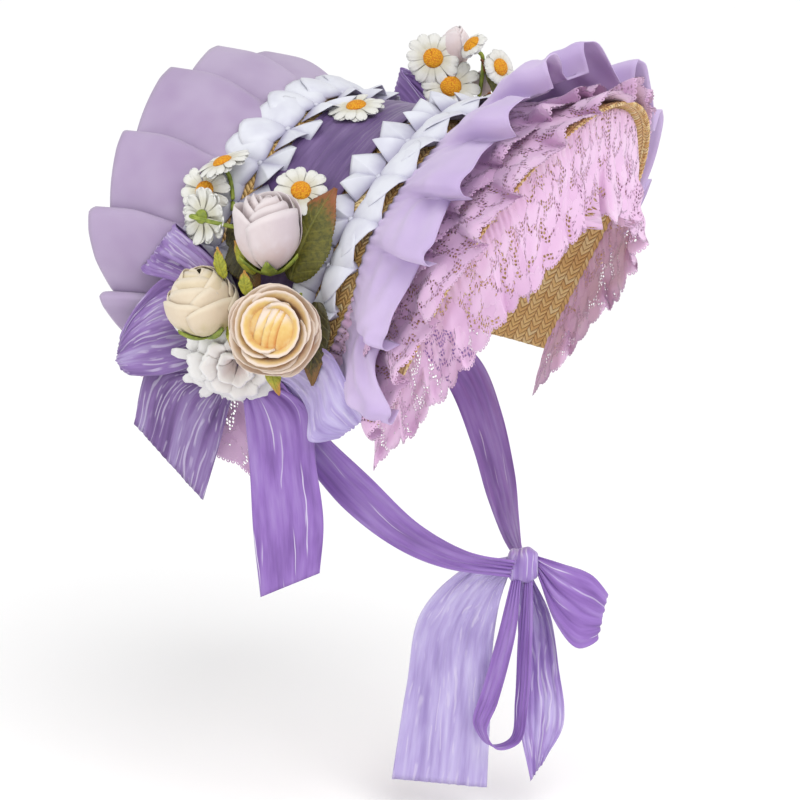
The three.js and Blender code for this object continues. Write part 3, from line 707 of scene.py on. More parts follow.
def ruffleGrid(look):
    rng = np.random.default_rng(look["seed"])
    folds, perFold, columns = look["folds"], look["perFold"], look["columns"]
    drawn = 1 + look["uneven"] * rng.uniform(-1, 1, folds)
    widths = np.array(look.get("widths", drawn))
    tall = 1 + 0.8 * look["uneven"] * rng.uniform(-1, 1, folds + 1)
    reachOut = rng.uniform(-1, 1, folds + 1)
    starts = np.concatenate([[0], np.cumsum(widths)])
    foldX, foldH = foldSection(look["form"], perFold)
    k = np.append(np.repeat(np.arange(folds), perFold), folds - 1)[:, None]
    t = np.append(np.tile(np.arange(perFold) / perFold, folds), 1.0)[:, None]
    x = np.append(np.tile(foldX, folds), 1.0)[:, None]
    h = np.append(np.tile(foldH, folds), 0.0)[:, None]
    v = gridColumns(0, 1, columns)
    opened = smoothStep(v, *look["open"])
    place = starts[k] + widths[k] * (t + (x - t) * opened)
    s = -look["end"] + 2 * look["end"] * place / starts[-1]
    height = tall[k] * (1 - t) + tall[k + 1] * t
    if look["scallops"]:
        dip = np.abs(np.sin(pi * look["scallops"] * gridRows(0, 1, len(k)))) ** 0.6
        v = v * (1 - look["scallopDeep"] * (1 - dip))
    edge = {**plainEdge, **edges[look["edge"]]}
    seamY, seamN = look["seam"]

    def middle(s, v):
        forward = look["seamForward"] * smoothStep(np.abs(s), look["seamFrom"], 1)
        start = overStraw(seamY + forward, s, np.full_like(s, seamN))
        return start + (archPoint(edge, s) - start) * v[..., None]

    v = v + 0 * s
    points = middle(s, v)
    along = middle(s + 0.006, v) - middle(s - 0.006, v)
    down = middle(s, 0 * v + 1) - middle(s, 0 * v)
    normal = outwards(points, along, unit(down))
    wave = (h - look["sink"]) * 2 * look["deep"] * height * opened
    nearSeam = np.exp(-((v - gathers["at"]) / gathers["wide"]) ** 2)
    gathered = gathers["high"] * look["side"] * np.sin(2 * pi * (k + t) * gathers["each"]) * nearSeam
    field = waves(place / starts[-1] * rumples["long"], v * rumples["wide"], look["seed"] + 50,
                  rumples["count"], rumples["across"], rumples["along"])
    out = wave + look["belly"] * np.sin(pi * v) + gathered + look["rumple"] * field * smoothStep(v, 0.1, 0.6)
    points = points + normal * out[..., None]
    lip = look["lip"] * (h * (0.75 + 0.35 * reachOut[k]) - 0.3) * v ** 2
    slanted = 0.5 - x - 0.3 * np.exp(-(np.clip(x, 0, 1) / 0.12) ** 2)  # each fold's free corner is rounded
    far = 1 - look["farLess"] * smoothStep(s, 0.0, 0.35)
    lip = lip + look["step"] * far * slanted * (1 + 0.25 * reachOut[k]) * v ** 1.5
    points = points + unit(down) * lip[..., None]
    step = span(np.diff(points[:, columns // 2:], axis=0)).mean(axis=1)
    length = np.concatenate([[0], np.cumsum(step)])[:, None]
    fromEdge = (v.max(axis=1, keepdims=True) - v) * span(down)
    return patch(points, length, fromEdge, wave)


for node, look in ruffleLooks.items():
    look = {**plainRuffle, **look}
    piece = sew(node + "_cloth", [ruffleGrid(look)], [finishes[look["finish"]]], look["thick"])
    stands(piece, look["slot"], node)
print("ruffles gathered")


# Ribbon bands. Each row gives a point of either edge, and the edges are smooth curves through them.
def smoothLine(rows, count):
    rows = np.asarray(rows, float)
    padded = np.concatenate([[2 * rows[0] - rows[1]], rows, [2 * rows[-1] - rows[-2]]])
    place = np.linspace(0, len(rows) - 1, count)
    i = np.minimum(place.astype(int), len(rows) - 2)
    t = (place - i)[:, None]
    p = [padded[i + k] for k in range(4)]
    d = [np.sqrt(np.maximum(span(p[k + 1] - p[k]), 1e-4))[:, None] for k in range(3)]
    m1 = ((p[1] - p[0]) / d[0] - (p[2] - p[0]) / (d[0] + d[1]) + (p[2] - p[1]) / d[1]) * d[1]
    m2 = ((p[2] - p[1]) / d[1] - (p[3] - p[1]) / (d[1] + d[2]) + (p[3] - p[2]) / d[2]) * d[1]
    cubic = (2 * p[1] - 2 * p[2] + m1 + m2) * t ** 3
    return cubic + (3 * p[2] - 3 * p[1] - 2 * m1 - m2) * t ** 2 + m1 * t + p[1]


bandLook = {"across": 44, "step": 2.6, "gather": 1.7, "gatherReach": 24.0, "thick": 0.45}


# ends says which ends are gathered, fold gives the share of the width past which it is turned and by how
# much, crease how deep the creases are, and crush their wavelengths across and along
def band(name, node, rows, place, seed, held, holder,
         finish="bow", ends=(True, False), fold=(0, 0), crease=0.9, crush=(9.5, 90)):
    rows = np.array(rows, float)
    first, second = place(rows[:, :3]), place(rows[:, 3:])
    long = runAlong(smoothLine((first + second) / 2, 200))[-1]
    count = max(int(long / bandLook["step"]), 12)
    a, b = smoothLine(first, count), smoothLine(second, count)
    v = gridColumns(0, 1, bandLook["across"])
    points = a[:, None] + (b - a)[:, None] * v[..., None]
    along = unit(np.gradient(points, axis=0))
    normal = unit(np.cross(along, unit(np.gradient(points, axis=1))))
    distance = gridRows(0, long, count)
    wide = span(b - a)[:, None]
    side = v * max(wide.max(), 20)
    fars = zip(ends, (distance, long - distance))
    near = sum(np.exp(-far / bandLook["gatherReach"]) for end, far in fars if end)
    field = waves(distance, side, seed, 10, *crush)
    fine = waves(distance, side, seed + 1, 8, crush[0] * 0.45, 50)
    height = crease * (0.9 - np.abs(field) ** 0.7) + 0.25 * fine
    pleat = np.sin(2 * pi * v * 4.5 + 0.6 * waves(distance, side, seed + 2, 4, 60, 60))
    height = height + bandLook["gather"] * near * pleat * np.clip(wide / 36, 0.35, 1)
    share, deep = fold
    height = height + deep * np.maximum(v - share, 0) / (1 - share) * smoothStep(distance / long, 0.05, 0.3)
    cloth = patch(points + normal * height[..., None], distance, side + seed * 31, height)
    piece = sew(name, [cloth], [finishes[finish]], bandLook["thick"])
    stands(piece, "purple_ribbon", node)


def knot(name, node, centre, sizes, turn, finish, seed):  # a band pulled tight round the middle of a bow
    a = gridRows(-pi / 2, pi / 2, 26)
    b = gridColumns(0, 2 * pi, 45)
    power = lambda x, p: np.sign(x) * np.abs(x) ** p
    fat = power(np.cos(a), 0.45) * (1 + 0.07 * np.sin(6 * a + 0.8 * np.sin(b + seed)) * np.cos(a))
    x = power(np.sin(a), 0.75) * sizes[0] / 2 + 0 * b
    y = fat * power(np.cos(b), 0.8) * sizes[1] / 2
    z = fat * power(np.sin(b), 0.8) * sizes[2] / 2
    points = np.stack([*turned(x, y, turn), z], -1) + np.array(centre)
    tube = sew(name, [patch(points, b * 10, a * 12 + seed)], [finishes[finish]], merge=True)
    stands(tube, "purple_ribbon", node)


# The side bow, for the right side: x is outwards from the middle of the bonnet
bowRows = {
    "back_loop": [
        (105.5, 55.6, -131, 105.5, 55.6, -144), (108, 74, -92, 112, 70, -144),
        (117, 88, -90.5, 124, 91, -150), (126.5, 104, -108, 132, 110, -150),
        (126, 116, -130, 127, 120, -147.5), (118, 108, -122, 119, 112, -148),
        (109, 86, -120, 110, 88, -147), (103.5, 68, -128, 103.5, 68, -146),
        (101, 55.6, -132, 101, 55.6, -143)],
    "upper_loop": [
        (107, 40, -127.2, 107, 53, -127.2), (111, 42, -102, 111, 64, -107), (117, 58, -78, 117, 83, -94),
        (120, 78, -62, 121, 102, -90), (115, 83, -60, 117, 106, -88), (109, 66, -76, 111, 87, -94),
        (105.5, 48, -100, 106, 66, -106), (102, 41, -127.2, 102, 53, -127.2)],
    "front_loop": [
        (107.5, 38.4, -132, 107.5, 38.4, -145), (111.2, 2.8, -125, 106.4, 12.5, -150.5),
        (120.5, -22, -125, 112.4, -3, -163.7), (122.4, -36, -144, 119.6, -7.6, -179),
        (118.3, -43.7, -162.7, 114.6, -24, -176.3), (112.3, -32, -153.5, 112.4, -12, -173.4),
        (103.2, 2, -136.4, 103.7, 7.4, -159.5), (102, 38.4, -133, 102, 38.4, -144)],
    "back_tail": [
        (104, 54, -148.8, 104, 48.5, -148.8), (109, 82.5, -146, 106, 52.5, -163),
        (112.8, 105, -148, 110.6, 57, -186), (118.5, 113.4, -182.7, 118.6, 65.7, -223.6)],
    "front_tail": [
        (105, 47, -148.8, 105, 40, -148.8), (110.4, 40.3, -178.6, 105.6, 2, -162),
        (118, 33.4, -206, 114.7, -9.5, -195.4), (121.7, 29, -239.4, 118.5, -16.5, -226.4),
        (121.8, 24.6, -276.7, 121.3, -15.3, -256.6)],
}
sideKnot = dict(centre=(104.8, 47, -138), sizes=(12, 19, 23), turn=0, finish="bow", seed=2)
leftShift = np.array([4.4, -50, 45])  # the left bow sits higher and further forward
leftLean = {"from": -127, "by": (-0.05, 0.37, 0.37)}  # its upper loop peeps over the crown
tieRows = [
    (97.8, 54, -122, 97.8, 38, -122), (98.2, 52, -140, 98.2, 32, -138), (99.6, 38, -164, 102.4, 12, -156),
    (98, 12, -194, 103.5, -10, -176), (84, -12, -228, 88, -32, -204), (62, -34, -254, 66, -52, -234),
    (38, -56, -270, 40, -68, -254), (9.5, -84, -279, 9.5, -86, -267)]
chinKnot = dict(centre=(0, -88, -273), sizes=(19, 16, 21), turn=math.radians(-65), finish="chin", seed=5)
chinRows = {
    "left_loop": [
        (8.6, -3, 6, 8.6, -3, -5), (24, -8, 3, 20, -9, -34), (42, -7, -4, 34, -8, -50),
        (52, 0, -18, 46, 0, -46), (42, 7, -8, 38, 8, -42), (24, 7, -1, 22, 7, -26), (8.6, 3, 5, 8.6, 3, -6)],
    "hanging_loop": [
        (-6, -2, -7.5, -1, -5, -7.5), (-14, -6, -40, -4, -15, -40), (-24, -8, -78, -14, -17, -82),
        (-29, -7, -100, -21, -16, -102), (-20, -6, -113, -14, -15, -113), (-7, -6, -109, -1, -14, -109),
        (-4, -7, -84, 4, -14, -84), (-2, -6, -40, 6, -13, -40), (1, -2, -8.9, 6, -5, -8.9)],
    "right_tail": [
        (-8.9, 0, 5, -8.9, 0, -7), (-34, 1, -2, -14, 0, -24), (-62, 3, -32, -18, 1, -52),
        (-71, 4, -80, -19, 2, -92), (-80, 3, -140, -21, 1, -144)],
    "left_tail": [
        (-5, 3, -8.9, 6, 3, -8.9), (-3, 10, -34, 17, 13, -36), (-2, 6, -66, 22, 10, -66),
        (-1, 3, -104, 26, 8, -104), (6, 3, -140, 14, 6, -128)],
}
bandWays = {
    "back_loop": dict(fold=(0.74, -5.0), crease=1.3),
    "upper_loop": dict(crease=1.2),
    # the front loop takes the lighter copy of the purple satin: painted light
    "front_loop": dict(finish="pale", crease=0.7, crush=(14, 60)),
    # the back tail takes the darker copy of the bow satin: painted shade
    "back_tail": dict(finish="shadedBow", crease=1.3),
    "front_tail": dict(finish="tail", crush=(22, 260)),
    "tie": dict(ends=(True, True), finish="tail", fold=(0.28, 3.0), crease=0.6, crush=(18, 240)),
    "left_loop": dict(finish="tail", crease=0.6, crush=(14, 60)),
    "hanging_loop": dict(finish="tail", crease=0.4, crush=(14, 120)),
    # the right tail takes the lighter copy of the purple satin: painted light
    "right_tail": dict(finish="pale", crease=1.3, crush=(9, 130)),
    "left_tail": dict(finish="chin", crease=1.1, crush=(9, 110)),
}


def rightSide(points):
    return points * [-1, 1, 1]


def leftSide(points):
    higher = np.maximum(points[:, 2:] - leftLean["from"], 0)
    return points + leftShift + higher * leftLean["by"]


def atChin(points):
    x, y, z = points.T
    return np.stack([*turned(x, y, chinKnot["turn"]), z], -1) + np.array(chinKnot["centre"])


def bowBand(name, node, part, rows, place, seed, holder, **more):
    loop = "loop" in part
    way = {"ends": (True, loop), **bandWays[part], **more}
    band(name, node, rows, place, seed, "folded" if loop else "hung", holder, **way)


def bows():
    seed = 100
    for side, place in (("right", rightSide), ("left", leftSide)):
        holder = f"side_bow_knot_{side}"
        centre = place(np.array([sideKnot["centre"]], float))[0]
        knot(f"side_knot_{side}", holder, **{**sideKnot, "centre": centre})
        for part, rows in bowRows.items():
            if side == "left" and part.startswith("front"):
                continue
            seed += 7
            more = dict(crease=0.4) if (part, side) == ("upper_loop", "left") else {}
            node = f"side_bow_{part}_{side}"
            bowBand(f"{part}_{side}_satin", node, part, rows, place, seed, holder, **more)
        tiePlace = rightSide if side == "right" else (lambda points: points)
        bowBand(f"tie_{side}_satin", f"tie_{side}", "tie", tieRows, tiePlace, seed + 3, "straw_base")
    knot("chin_knot", "chin_bow_knot", **chinKnot)
    for part, rows in chinRows.items():
        seed += 7
        bowBand(f"chin_{part}_satin", f"chin_bow_{part}", part, rows, atChin, seed, "chin_bow_knot")


bows()
print("bows tied")


# Blooms are made in their own frame, with z towards the front of the bloom
def bloomPlace(centre, turn, tilt, roll):
    aim, raised = math.radians(turn), math.radians(tilt)
    level = -math.cos(raised)
    facing = np.array([math.sin(aim) * level, math.cos(aim) * level, math.sin(raised)])
    side = unit(np.cross(facing, [0, 0, 1.0]))
    up = np.cross(side, facing)
    axes = np.stack([*turned(side, up, -roll), facing])
    return lambda points: points @ axes + np.array(centre, float)


# A petal's start, belly and rim are radius and height; spread is its half width in radians, squared how
# round its corners are
def cupPetal(angle, spread, start, belly, rim, curl=0.0, lean=0.0, heat=0.0, squared=0.18, wave=0.0,
             fringe=0.0, rows=12, columns=13, phase=0.0, pinch=0.55):
    a = gridRows(0, 1, rows)
    b = gridColumns(-1, 1, columns)
    t = a * (1 - squared * np.abs(b) ** 3) + a * fringe * np.sin(b * 17 + phase)
    radius, height = [(1 - t) ** 2 * start[k] + 2 * t * (1 - t) * belly[k] + t * t * rim[k] for k in (0, 1)]
    roll = smoothStep(t, 0.72, 1.0)
    radius = radius + curl * roll + lean * b * t + wave * np.sin(b * 6 + phase) * t * t
    height = height - 0.55 * abs(curl) * roll ** 2 + 0.5 * wave * np.cos(b * 5 + phase) * t * t
    turn = angle + b * spread * (pinch + (1 - pinch) * np.sqrt(t))
    return patch(np.stack([radius * np.cos(turn), radius * np.sin(turn), height], -1), a, b, heat)


def stem(line, radius=1.1, sides=7):
    line = smoothLine(line, 14)
    side = unit(np.cross(unit(np.gradient(line, axis=0)), [0.31, 0.2, 0.93]))
    up = np.cross(unit(np.gradient(line, axis=0)), side)
    ring = np.linspace(0, 2 * pi, sides + 1)[None, :, None]
    points = line[:, None] + radius * (side[:, None] * np.cos(ring) + up[:, None] * np.sin(ring))
    return patch(points, 0.5, 0.0, coat=2)


# Rings of petals, from the heart out: count, spread in degrees, radius and height of belly and rim as shares
# of the bloom's size, curl of the rim in mm
bloomRings = {
    "rose": [
        (2, 112, 0.54, 0.40, 0.55, 0.60, 2.6), (3, 88, 0.76, 0.16, 0.70, 0.56, 3.4),
        (4, 76, 0.94, -0.10, 0.82, 0.36, 4.0), (5, 60, 1.00, -0.50, 0.90, 0.02, 3.6)],
    "peony": [
        (3, 84, 0.75, 0.70, 0.10, 1.04, 0.0), (3, 88, 1.06, 0.55, 0.20, 1.02, 0.3),
        (4, 76, 1.20, 0.20, 0.40, 0.94, 0.6), (5, 66, 1.28, -0.15, 0.62, 0.76, 0.8),
        (5, 60, 1.30, -0.50, 0.84, 0.42, 1.0)],
    "closed": [
        (3, 96, 0.70, 0.60, 0.10, 1.04, 0.0), (3, 94, 0.98, 0.50, 0.16, 1.00, 0.0),
        (3, 90, 1.12, 0.25, 0.26, 0.90, 0.2)],
    "bud": [
        (3, 90, 0.40, 0.25, 0.12, 1.00, 0.3), (3, 84, 0.75, 0.15, 0.26, 1.02, 0.8),
        (3, 78, 1.00, -0.05, 0.42, 0.96, 1.6), (3, 74, 1.15, -0.35, 0.60, 0.82, 3.0)],
}


def ringBloom(size, deep, rings, seed):
    rng = np.random.default_rng(seed)
    made = []
    for ring, (count, spread, bellyR, bellyH, rimR, rimH, curl) in enumerate(rings):
        start = (0.10 * size * (0.4 + ring / len(rings)), -deep * size)
        for k in range(count):
            angle = 2 * pi * (k + 0.5 * (ring % 2)) / count + rng.uniform(-0.16, 0.16) + ring
            j = rng.uniform(0.95, 1.05, 4)
            rim = (rimR * size * j[1], rimH * size * (j[2] * 0.5 + 0.5) + rng.uniform(-0.8, 0.8))
            made.append(cupPetal(
                angle, math.radians(spread), start, (bellyR * size * j[0], bellyH * size), rim, curl * j[3],
                lean=0.07 * size, heat=1 - ring / (len(rings) - 1), wave=0.2 + 0.006 * size * ring,
                phase=rng.uniform(0, 6), squared=0.2))
    return made


pageJoins = np.array([-1.9, -0.3, -0.06, 0.2, 0.55, 1.9])  # the rose heart's pages differ in width


def roseHeart(size):  # petals folded side by side, like pages, that fill the heart
    a = gridColumns(-1, 1, 81)
    b = gridRows(-1, 1, 19)
    across = a * np.sqrt(1 - 0.8 * b ** 2)
    place = across + 0.16 * b ** 2 + 0.14 * b
    count = np.interp(place, pageJoins, np.arange(len(pageJoins)))
    part = count % 1
    page = smoothStep(part, -0.4, 0.7) * (1 - 0.8 * smoothStep(part, 0.93, 1))
    high = 1 - 0.35 * (np.floor(count) % 2) - 0.25 * b
    x = 0.58 * size * across + 0.05 * size * smoothStep(part, 0.6, 0.9) * (1 - smoothStep(part, 0.93, 1))
    y = 0.62 * size * b + 0 * a
    z = size * (0.40 - 0.1 * (across ** 2 + b ** 2)) + 0.045 * size * page * high
    # tone is read as the base-to-rim place: low values mix in the orange shade colour towards negative b and
    # in the grooves between pages, which is painted shade; high values on the folds take the rim colour
    tone = 0.58 + 0.3 * page * (0.6 + 0.4 * part) + 0.22 * b + 0.08 * across
    return [patch(np.stack([x, y, z], -1), tone, place, 1.0)]


# count, reach and rise of each ring, from the outside in
carnationRings = [(11, 1.0, -0.16), (9, 0.88, -0.02), (7, 0.66, 0.1), (4, 0.36, 0.16)]
narrowPetals = 14  # stick out below the carnation's rings
daisyRings = [(12, 1.0, 0.1), (9, 0.95, 0.02)]


def carnation(size, deep, seed):
    rng = np.random.default_rng(seed)
    made = []
    for ring, (count, reach, rise) in enumerate(carnationRings):
        for k in range(count):
            angle = 2 * pi * (k + 0.5 * (ring % 2)) / count + rng.uniform(-0.12, 0.12)
            rim = (reach * size * rng.uniform(0.88, 1.08), rise * size + rng.uniform(-1.5, 1.5))
            made.append(cupPetal(
                angle, 4.4 / count, (1.5, -deep * size), (0.5 * reach * size, (rise + 0.12) * size), rim,
                curl=-1.0, heat=ring / 3, squared=0.22, wave=1.0, fringe=0.02, rows=9, columns=15,
                phase=rng.uniform(0, 6), pinch=0.25))
    for k in range(narrowPetals):
        angle = 2 * pi * k / narrowPetals + rng.uniform(-0.2, 0.2)
        reach = size * rng.uniform(1.08, 1.38)
        made.append(cupPetal(
            angle, 0.15, (2, -deep * size), (0.5 * reach, -0.1 * size), (reach, -0.3 * size), squared=0.35,
            wave=0.4, columns=7, phase=k, pinch=0.5))
    return made


def daisy(size, seed, short):
    rng = np.random.default_rng(seed)
    a = 1 - (1 - gridRows(0, 1, 13)) ** 1.5
    b = gridColumns(-1, 1, 7)
    end = np.sqrt(np.clip(1 - (np.maximum(a - 0.78, 0) / 0.225) ** 2, 0, 1))
    half = size * 0.2 * (0.4 + 0.6 * smoothStep(a, 0.0, 0.75)) * end * b
    made = []
    for ring, (count, long, rise) in enumerate(daisyRings):
        for k in range(count):
            angle = 2 * pi * (k + 0.5 * ring) / count + rng.uniform(-0.08, 0.08)
            reach = long * short * size * rng.uniform(0.92, 1.04)
            radius = 0.2 * size + (reach - 0.2 * size) * a * (1 - 0.04 * np.cos(b * 9) * a)
            lift = rise * size + rng.uniform(-0.03, 0.08) * size * a + 0.2 * size * a * (1 - a)
            lift = lift - rng.uniform(0.2, 1.4) * a ** 3 + 0.3 * np.cos(b * 6.2) * a - 0.5 * b * b * a
            made.append(patch(np.stack([*turned(radius, half, angle), lift], -1), a, b, 0.2))
    ring = gridColumns(0, 2 * pi, 21)
    up = gridRows(0, 1, 9)
    dome = 0.36 * size * np.sin(up * pi / 2) * (1 + 0.02 * np.sin(9 * ring) * np.sin(12 * up))
    high = 0.14 * size + 0.17 * size * np.cos(up * pi / 2) + 0 * ring
    disc = np.stack([dome * np.cos(ring), dome * np.sin(ring), high], -1)
    cup = 0.24 * size * np.sin(np.minimum(up * 1.1, 1) * pi / 2)
    low = -0.3 * size * (1 - up) - 0.02 * size + 0 * ring
    calyx = np.stack([cup * np.cos(ring), cup * np.sin(ring), low], -1)
    return made + [patch(disc, 0.5, 0, coat=1), patch(calyx, 0.5, 0, coat=2)]


def leafShape(base, tip, outward, u, v, half, lift, coat):  # half is half its width, lift how high it stands
    side = unit(np.cross(tip - base, outward))
    points = base + (tip - base) * u[..., None] + side * (half * v)[..., None] + outward * lift[..., None]
    return patch(points, u, v, coat=coat)


def sepal(base, tip, wide, bend):  # a small green leaf under a bloom
    u = gridRows(0, 1, 9)
    v = gridColumns(-1, 1, 5)
    half = wide / 2 * np.sin(pi * (0.1 + 0.88 * u ** 0.85))
    lift = bend * np.sin(pi * u) - 0.25 * wide * (1 - v ** 2)
    return leafShape(base, tip, np.array([0.0, 0.0, 1.0]), u, v, half, lift, 2)


def blade(base, tip, wide, bow, coat):  # a leaf with a toothed edge and sunk veins
    base, tip = np.array(base, float), np.array(tip, float)
    outward = unit(np.array([np.sign(base[0]), 0, 0.35]))
    u = gridRows(0, 1, 79)
    v = gridColumns(-1, 1, 13)
    teeth = 1 - 0.07 * ((u * 26) % 1) * np.abs(v) ** 6
    half = wide / 2 * np.sin(pi * (0.06 + 0.925 * u ** 0.8)) * teeth
    slant = (u * leafVeins["count"] - leafVeins["slant"] * np.abs(v)) % 1
    veins = 0.35 * np.exp(-((slant - 0.5) / 0.12) ** 2) * (1 - np.abs(v)) ** 0.3
    veins = veins + 0.7 * np.exp(-(v / 0.08) ** 2)
    lift = bow * (np.sin(pi * u) - 0.5 * np.abs(v)) - veins + 0.5 * np.sin(u * 21 + 2 * v) * v ** 2
    return leafShape(base, tip, outward, u, v, half, lift, coat)


# turn and tilt say which way a bloom faces, in degrees, and deep how far its base lies behind its middle,
# as a share of its size. roll turns it about its axis, stem is where its stem ends, short shortens its
# petals.
bloomKeys = ("form", "at", "turn", "tilt", "size", "deep", "seed")
bloomRows = {
    "rose_right": ("rose", (-136, 5.3, -111.6), 68, 16, 25.5, 0.72, 2),
    "peony_right": ("peony", (-129.8, 56.5, -103), 92, 78, 21.5, 0.85, 4),
    "rosebud_right": ("bud", (-119.4, 18.5, -60), 80, 80, 23.5, 0.95, 6),
    "carnation_right": ("carnation", (-118.4, 41.6, -139.4), 70, -20, 33, 0.34, 8),
    "daisy_right_1": ("daisy", (-96.4, 9.9, -38.5), 60, 36, 16, 0.25, 11),
    "daisy_right_2": ("daisy", (-98.4, 60.3, -25.9), 130, 66, 16, 0.25, 12),
    "daisy_right_3": ("daisy", (-103.8, 69.5, -41.1), 80, 22, 15, 0.25, 13),
    "daisy_right_4": ("daisy", (-118.5, 63, -53.6), 284, -8, 17, 0.25, 14),
    "ribbon_daisy": ("daisy", (-27.5, 11, 1.6), 90, 72, 16.5, 0.25, 15),
    "rose_left": ("rose", (128.5, -22, -65.4), -80, 12, 24, 0.72, 16),
    "peony_left": ("peony", (140, 26, -60), -100, 40, 20, 0.85, 17),
    "carnation_left": ("carnation", (124.8, 0, -104), -90, -35, 24, 0.4, 18),
    "rosebud_left": ("bud", (68.5, -5.5, 28), -20, 84, 14.5, 1.1, 19),
    "daisy_left_1": ("daisy", (55.1, 2.9, 24), 60, 20, 17, 0.25, 20),
    "daisy_left_2": ("daisy", (56.5, -8.6, 7), 60, 25, 18, 0.25, 21),
    "daisy_left_3": ("daisy", (59.9, -22.8, 32.2), 122, 45, 16, 0.25, 22),
    "daisy_left_4": ("daisy", (68.5, -35.1, 19.1), 20, 20, 15, 0.25, 23),
}
bloomExtras = {
    "rose_right": dict(roll=0.15),
    "peony_right": dict(roll=0.9),
    "rosebud_left": dict(
        rings="closed", stem=(70, -8, -26), petals=[((69, -22, 2), (67.6, -27.5, 19), 15, 2)]),
    "daisy_right_2": dict(stem=(-100, 54, -52)),
    "daisy_right_4": dict(stem=(-112, 38, -60)),
    "daisy_left_1": dict(stem=(64, -2, -20)),
    "daisy_left_2": dict(stem=(63, -9, -19)),
    "daisy_left_3": dict(stem=(69, -16, -25), short=0.6),
    "daisy_left_4": dict(stem=(73, -24, -28), short=0.75),
}
bloomSlots = {"rose": "rose", "peony": "peony", "bud": "rosebud", "carnation": "carnation", "daisy": "daisy"}


def sepals(size, deep, seed, reach):
    low = -deep * size
    made = []
    for k in range(5):
        angle = 2 * pi * k / 5 + seed
        tip = np.array([math.cos(angle), math.sin(angle), 0]) * size * reach + [0, 0, low + 0.5 * size]
        made.append(sepal(np.array([0, 0, low - 0.3]), tip, size * 0.42, -0.12 * size))
    return made


def bloom(node, look):
    form, size, deep, seed = look["form"], look["size"], look["deep"], look["seed"]
    if form == "daisy":
        made = daisy(size, seed, look.get("short", 1.0))
    elif form == "carnation":
        made = carnation(size, deep, seed)
    else:
        made = ringBloom(size, deep, bloomRings[look.get("rings", form)], seed)
        made += roseHeart(size) if form == "rose" else []
        made += sepals(size, deep, seed, 0.75 if form == "bud" else 1.02)
    place = bloomPlace(look["at"], look["turn"], look["tilt"], look.get("roll", seed))
    for p in made:
        p["points"] = place(p["points"])
    if "stem" in look:
        start, bend = [place(np.array([0, 0, -deep * size - drop * size])) for drop in (0, 0.6)]
        made.append(stem([start, (start + bend) / 2, (bend + look["stem"]) / 2, look["stem"]]))
    made += [blade(*petal, 0) for petal in look.get("petals", [])]  # loose petals beside the bloom
    piece = sew(node + "_petals", made, [finishes[form], finishes["disc"], finishes["stem"]], 0.4)
    stands(piece, bloomSlots[form], node)


for node, row in bloomRows.items():
    bloom(node, {**dict(zip(bloomKeys, row)), **bloomExtras.get(node, {})})
print("blooms made:", len(bloomRows))

# Leaves: base, tip, width, how far it bows, and 1 for a young leaf
leafLooks = {
    "large_leaf_right": dict(finish="leaf", blades=[((-109.7, 10, -87.7), (-96.9, -12.2, -34), 35, 5, 0)]),
    "dark_leaf_right": dict(finish="darkLeaf", blades=[
        ((-113.9, -10, -98), (-119.2, -9, -146), 22, 3, 0), ((-114, 44, -66), (-119, 26, -92), 24, 3, 0),
        ((-108, 52, -60), (-114, 32, -70), 18, 2, 0), ((-120, 28, -84), (-127.3, 36.5, -64), 9, 2, 1),
        ((-128, 27, -96), (-131, 28, -80), 9, 2, 1), ((-130, 42, -86), (-131, 46, -68), 8, 2, 1),
        ((-129, 12, -128), (-134.5, 4, -150), 11, 3, 1), ((-128, 34, -108), (-134, 34, -128), 12, 3, 1),
        ((-129, 30, -122), (-133, 20, -134), 8, 2, 1)]),
    "large_leaf_left": dict(finish="leaf", blades=[
        ((94.7, -22, -42.6), (60.7, -34, 5.4), 25, 5, 0), ((66, -37, 3), (63.5, -26.5, 25), 9, 3, 0)]),
}

for node, look in leafLooks.items():
    made = [blade(*row) for row in look["blades"]]
    stands(sew(node + "_blade", made, [finishes[look["finish"]], finishes["youngLeaf"]], 0.5), "leaf", node)
print("leaves cut:", len(leafLooks))

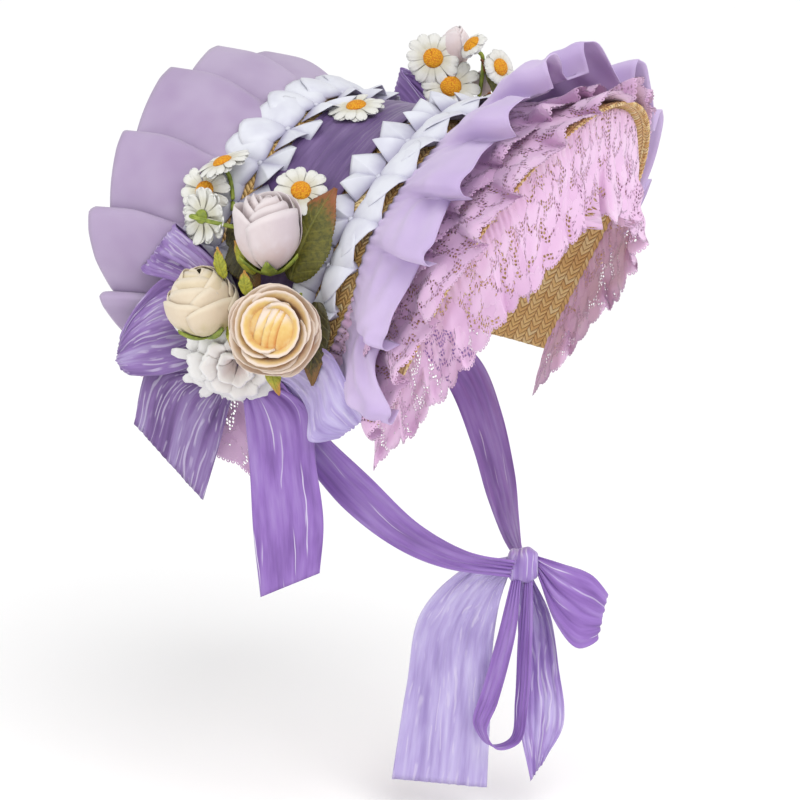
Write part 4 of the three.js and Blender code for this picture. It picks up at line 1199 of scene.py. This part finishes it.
# Studio: a pale floor under the hanging tails, soft lights and the camera. Lengths are in metres.
studio = {
    "floor": -0.435, "reach": 16.0, "pales": ((0.3, 0.97), (0.7, 0.985)), "world": 0.74,
    "target": (0, 0, -0.12),
}
sun = {"from": (-0.75, -0.95, 1.35), "strength": 1.3, "angle": 40.0}
lights = {
    "fill": dict(at=(-1.6, 0.9, 0.4), size=1.4, power=7.0),
    "front": dict(at=(0.5, -1.8, 0.3), size=1.3, power=7.0),
}
camera = {
    "azimuth": -62.0, "elevation": 13.0, "distance": 1.7, "lens": 127.5, "aimRight": 0.003, "aimUp": -0.1752,
}


def hang(name, data, place, look):  # links a light or camera that looks along a direction
    holder = bpy.data.objects.new(name, data)
    holder.location = place
    holder.rotation_euler = look.to_track_quat("-Z", "Y").to_euler()
    bpy.context.scene.collection.objects.link(holder)
    return holder


def buildFloor():
    mesh = bpy.data.meshes.new("floor")
    far = studio["reach"]
    mesh.from_pydata([(-far, -far, 0), (far, -far, 0), (far, far, 0), (-far, far, 0)], [], [(0, 1, 2, 3)])
    floor = bpy.data.objects.new("floor", mesh)
    floor.location.z = studio["floor"]
    bpy.context.scene.collection.objects.link(floor)
    f = Finish("pale floor", Roughness=0.9)
    f.colour(f.ramp(f.solidGrain(3.0), *[(place, (pale, pale, pale, 1)) for place, pale in studio["pales"]]))
    mesh.materials.append(f.material)


def buildLights():
    world = bpy.data.worlds.new("studio")
    world.use_nodes = True
    backdrop = world.node_tree.nodes["Background"].inputs
    backdrop["Color"].default_value, backdrop["Strength"].default_value = (1, 1, 1, 1), studio["world"]
    bpy.context.scene.world = world
    lamp = bpy.data.lights.new("sun", "SUN")
    lamp.energy, lamp.angle = sun["strength"], math.radians(sun["angle"])
    hang("sun", lamp, (0, 0, 0), -Vector(sun["from"]))
    for name, look in lights.items():
        lamp = bpy.data.lights.new(name, "AREA")
        lamp.size, lamp.energy = look["size"], look["power"]
        hang(name, lamp, look["at"], Vector(studio["target"]) - Vector(look["at"]))


def placeCamera():
    a, e = math.radians(camera["azimuth"]), math.radians(camera["elevation"])
    back = Vector((math.sin(a) * math.cos(e), -math.cos(a) * math.cos(e), math.sin(e)))
    right = Vector((math.cos(a), math.sin(a), 0))
    data = bpy.data.cameras.new("camera")
    data.lens, data.sensor_width, data.clip_end = camera["lens"], 36.0, 60
    place = right * camera["aimRight"] + back.cross(right) * camera["aimUp"] + back * camera["distance"]
    bpy.context.scene.camera = hang("camera", data, place, -back)


buildFloor()
buildLights()
placeCamera()
bpy.context.scene.view_settings.view_transform = "Standard"
print("studio ready")
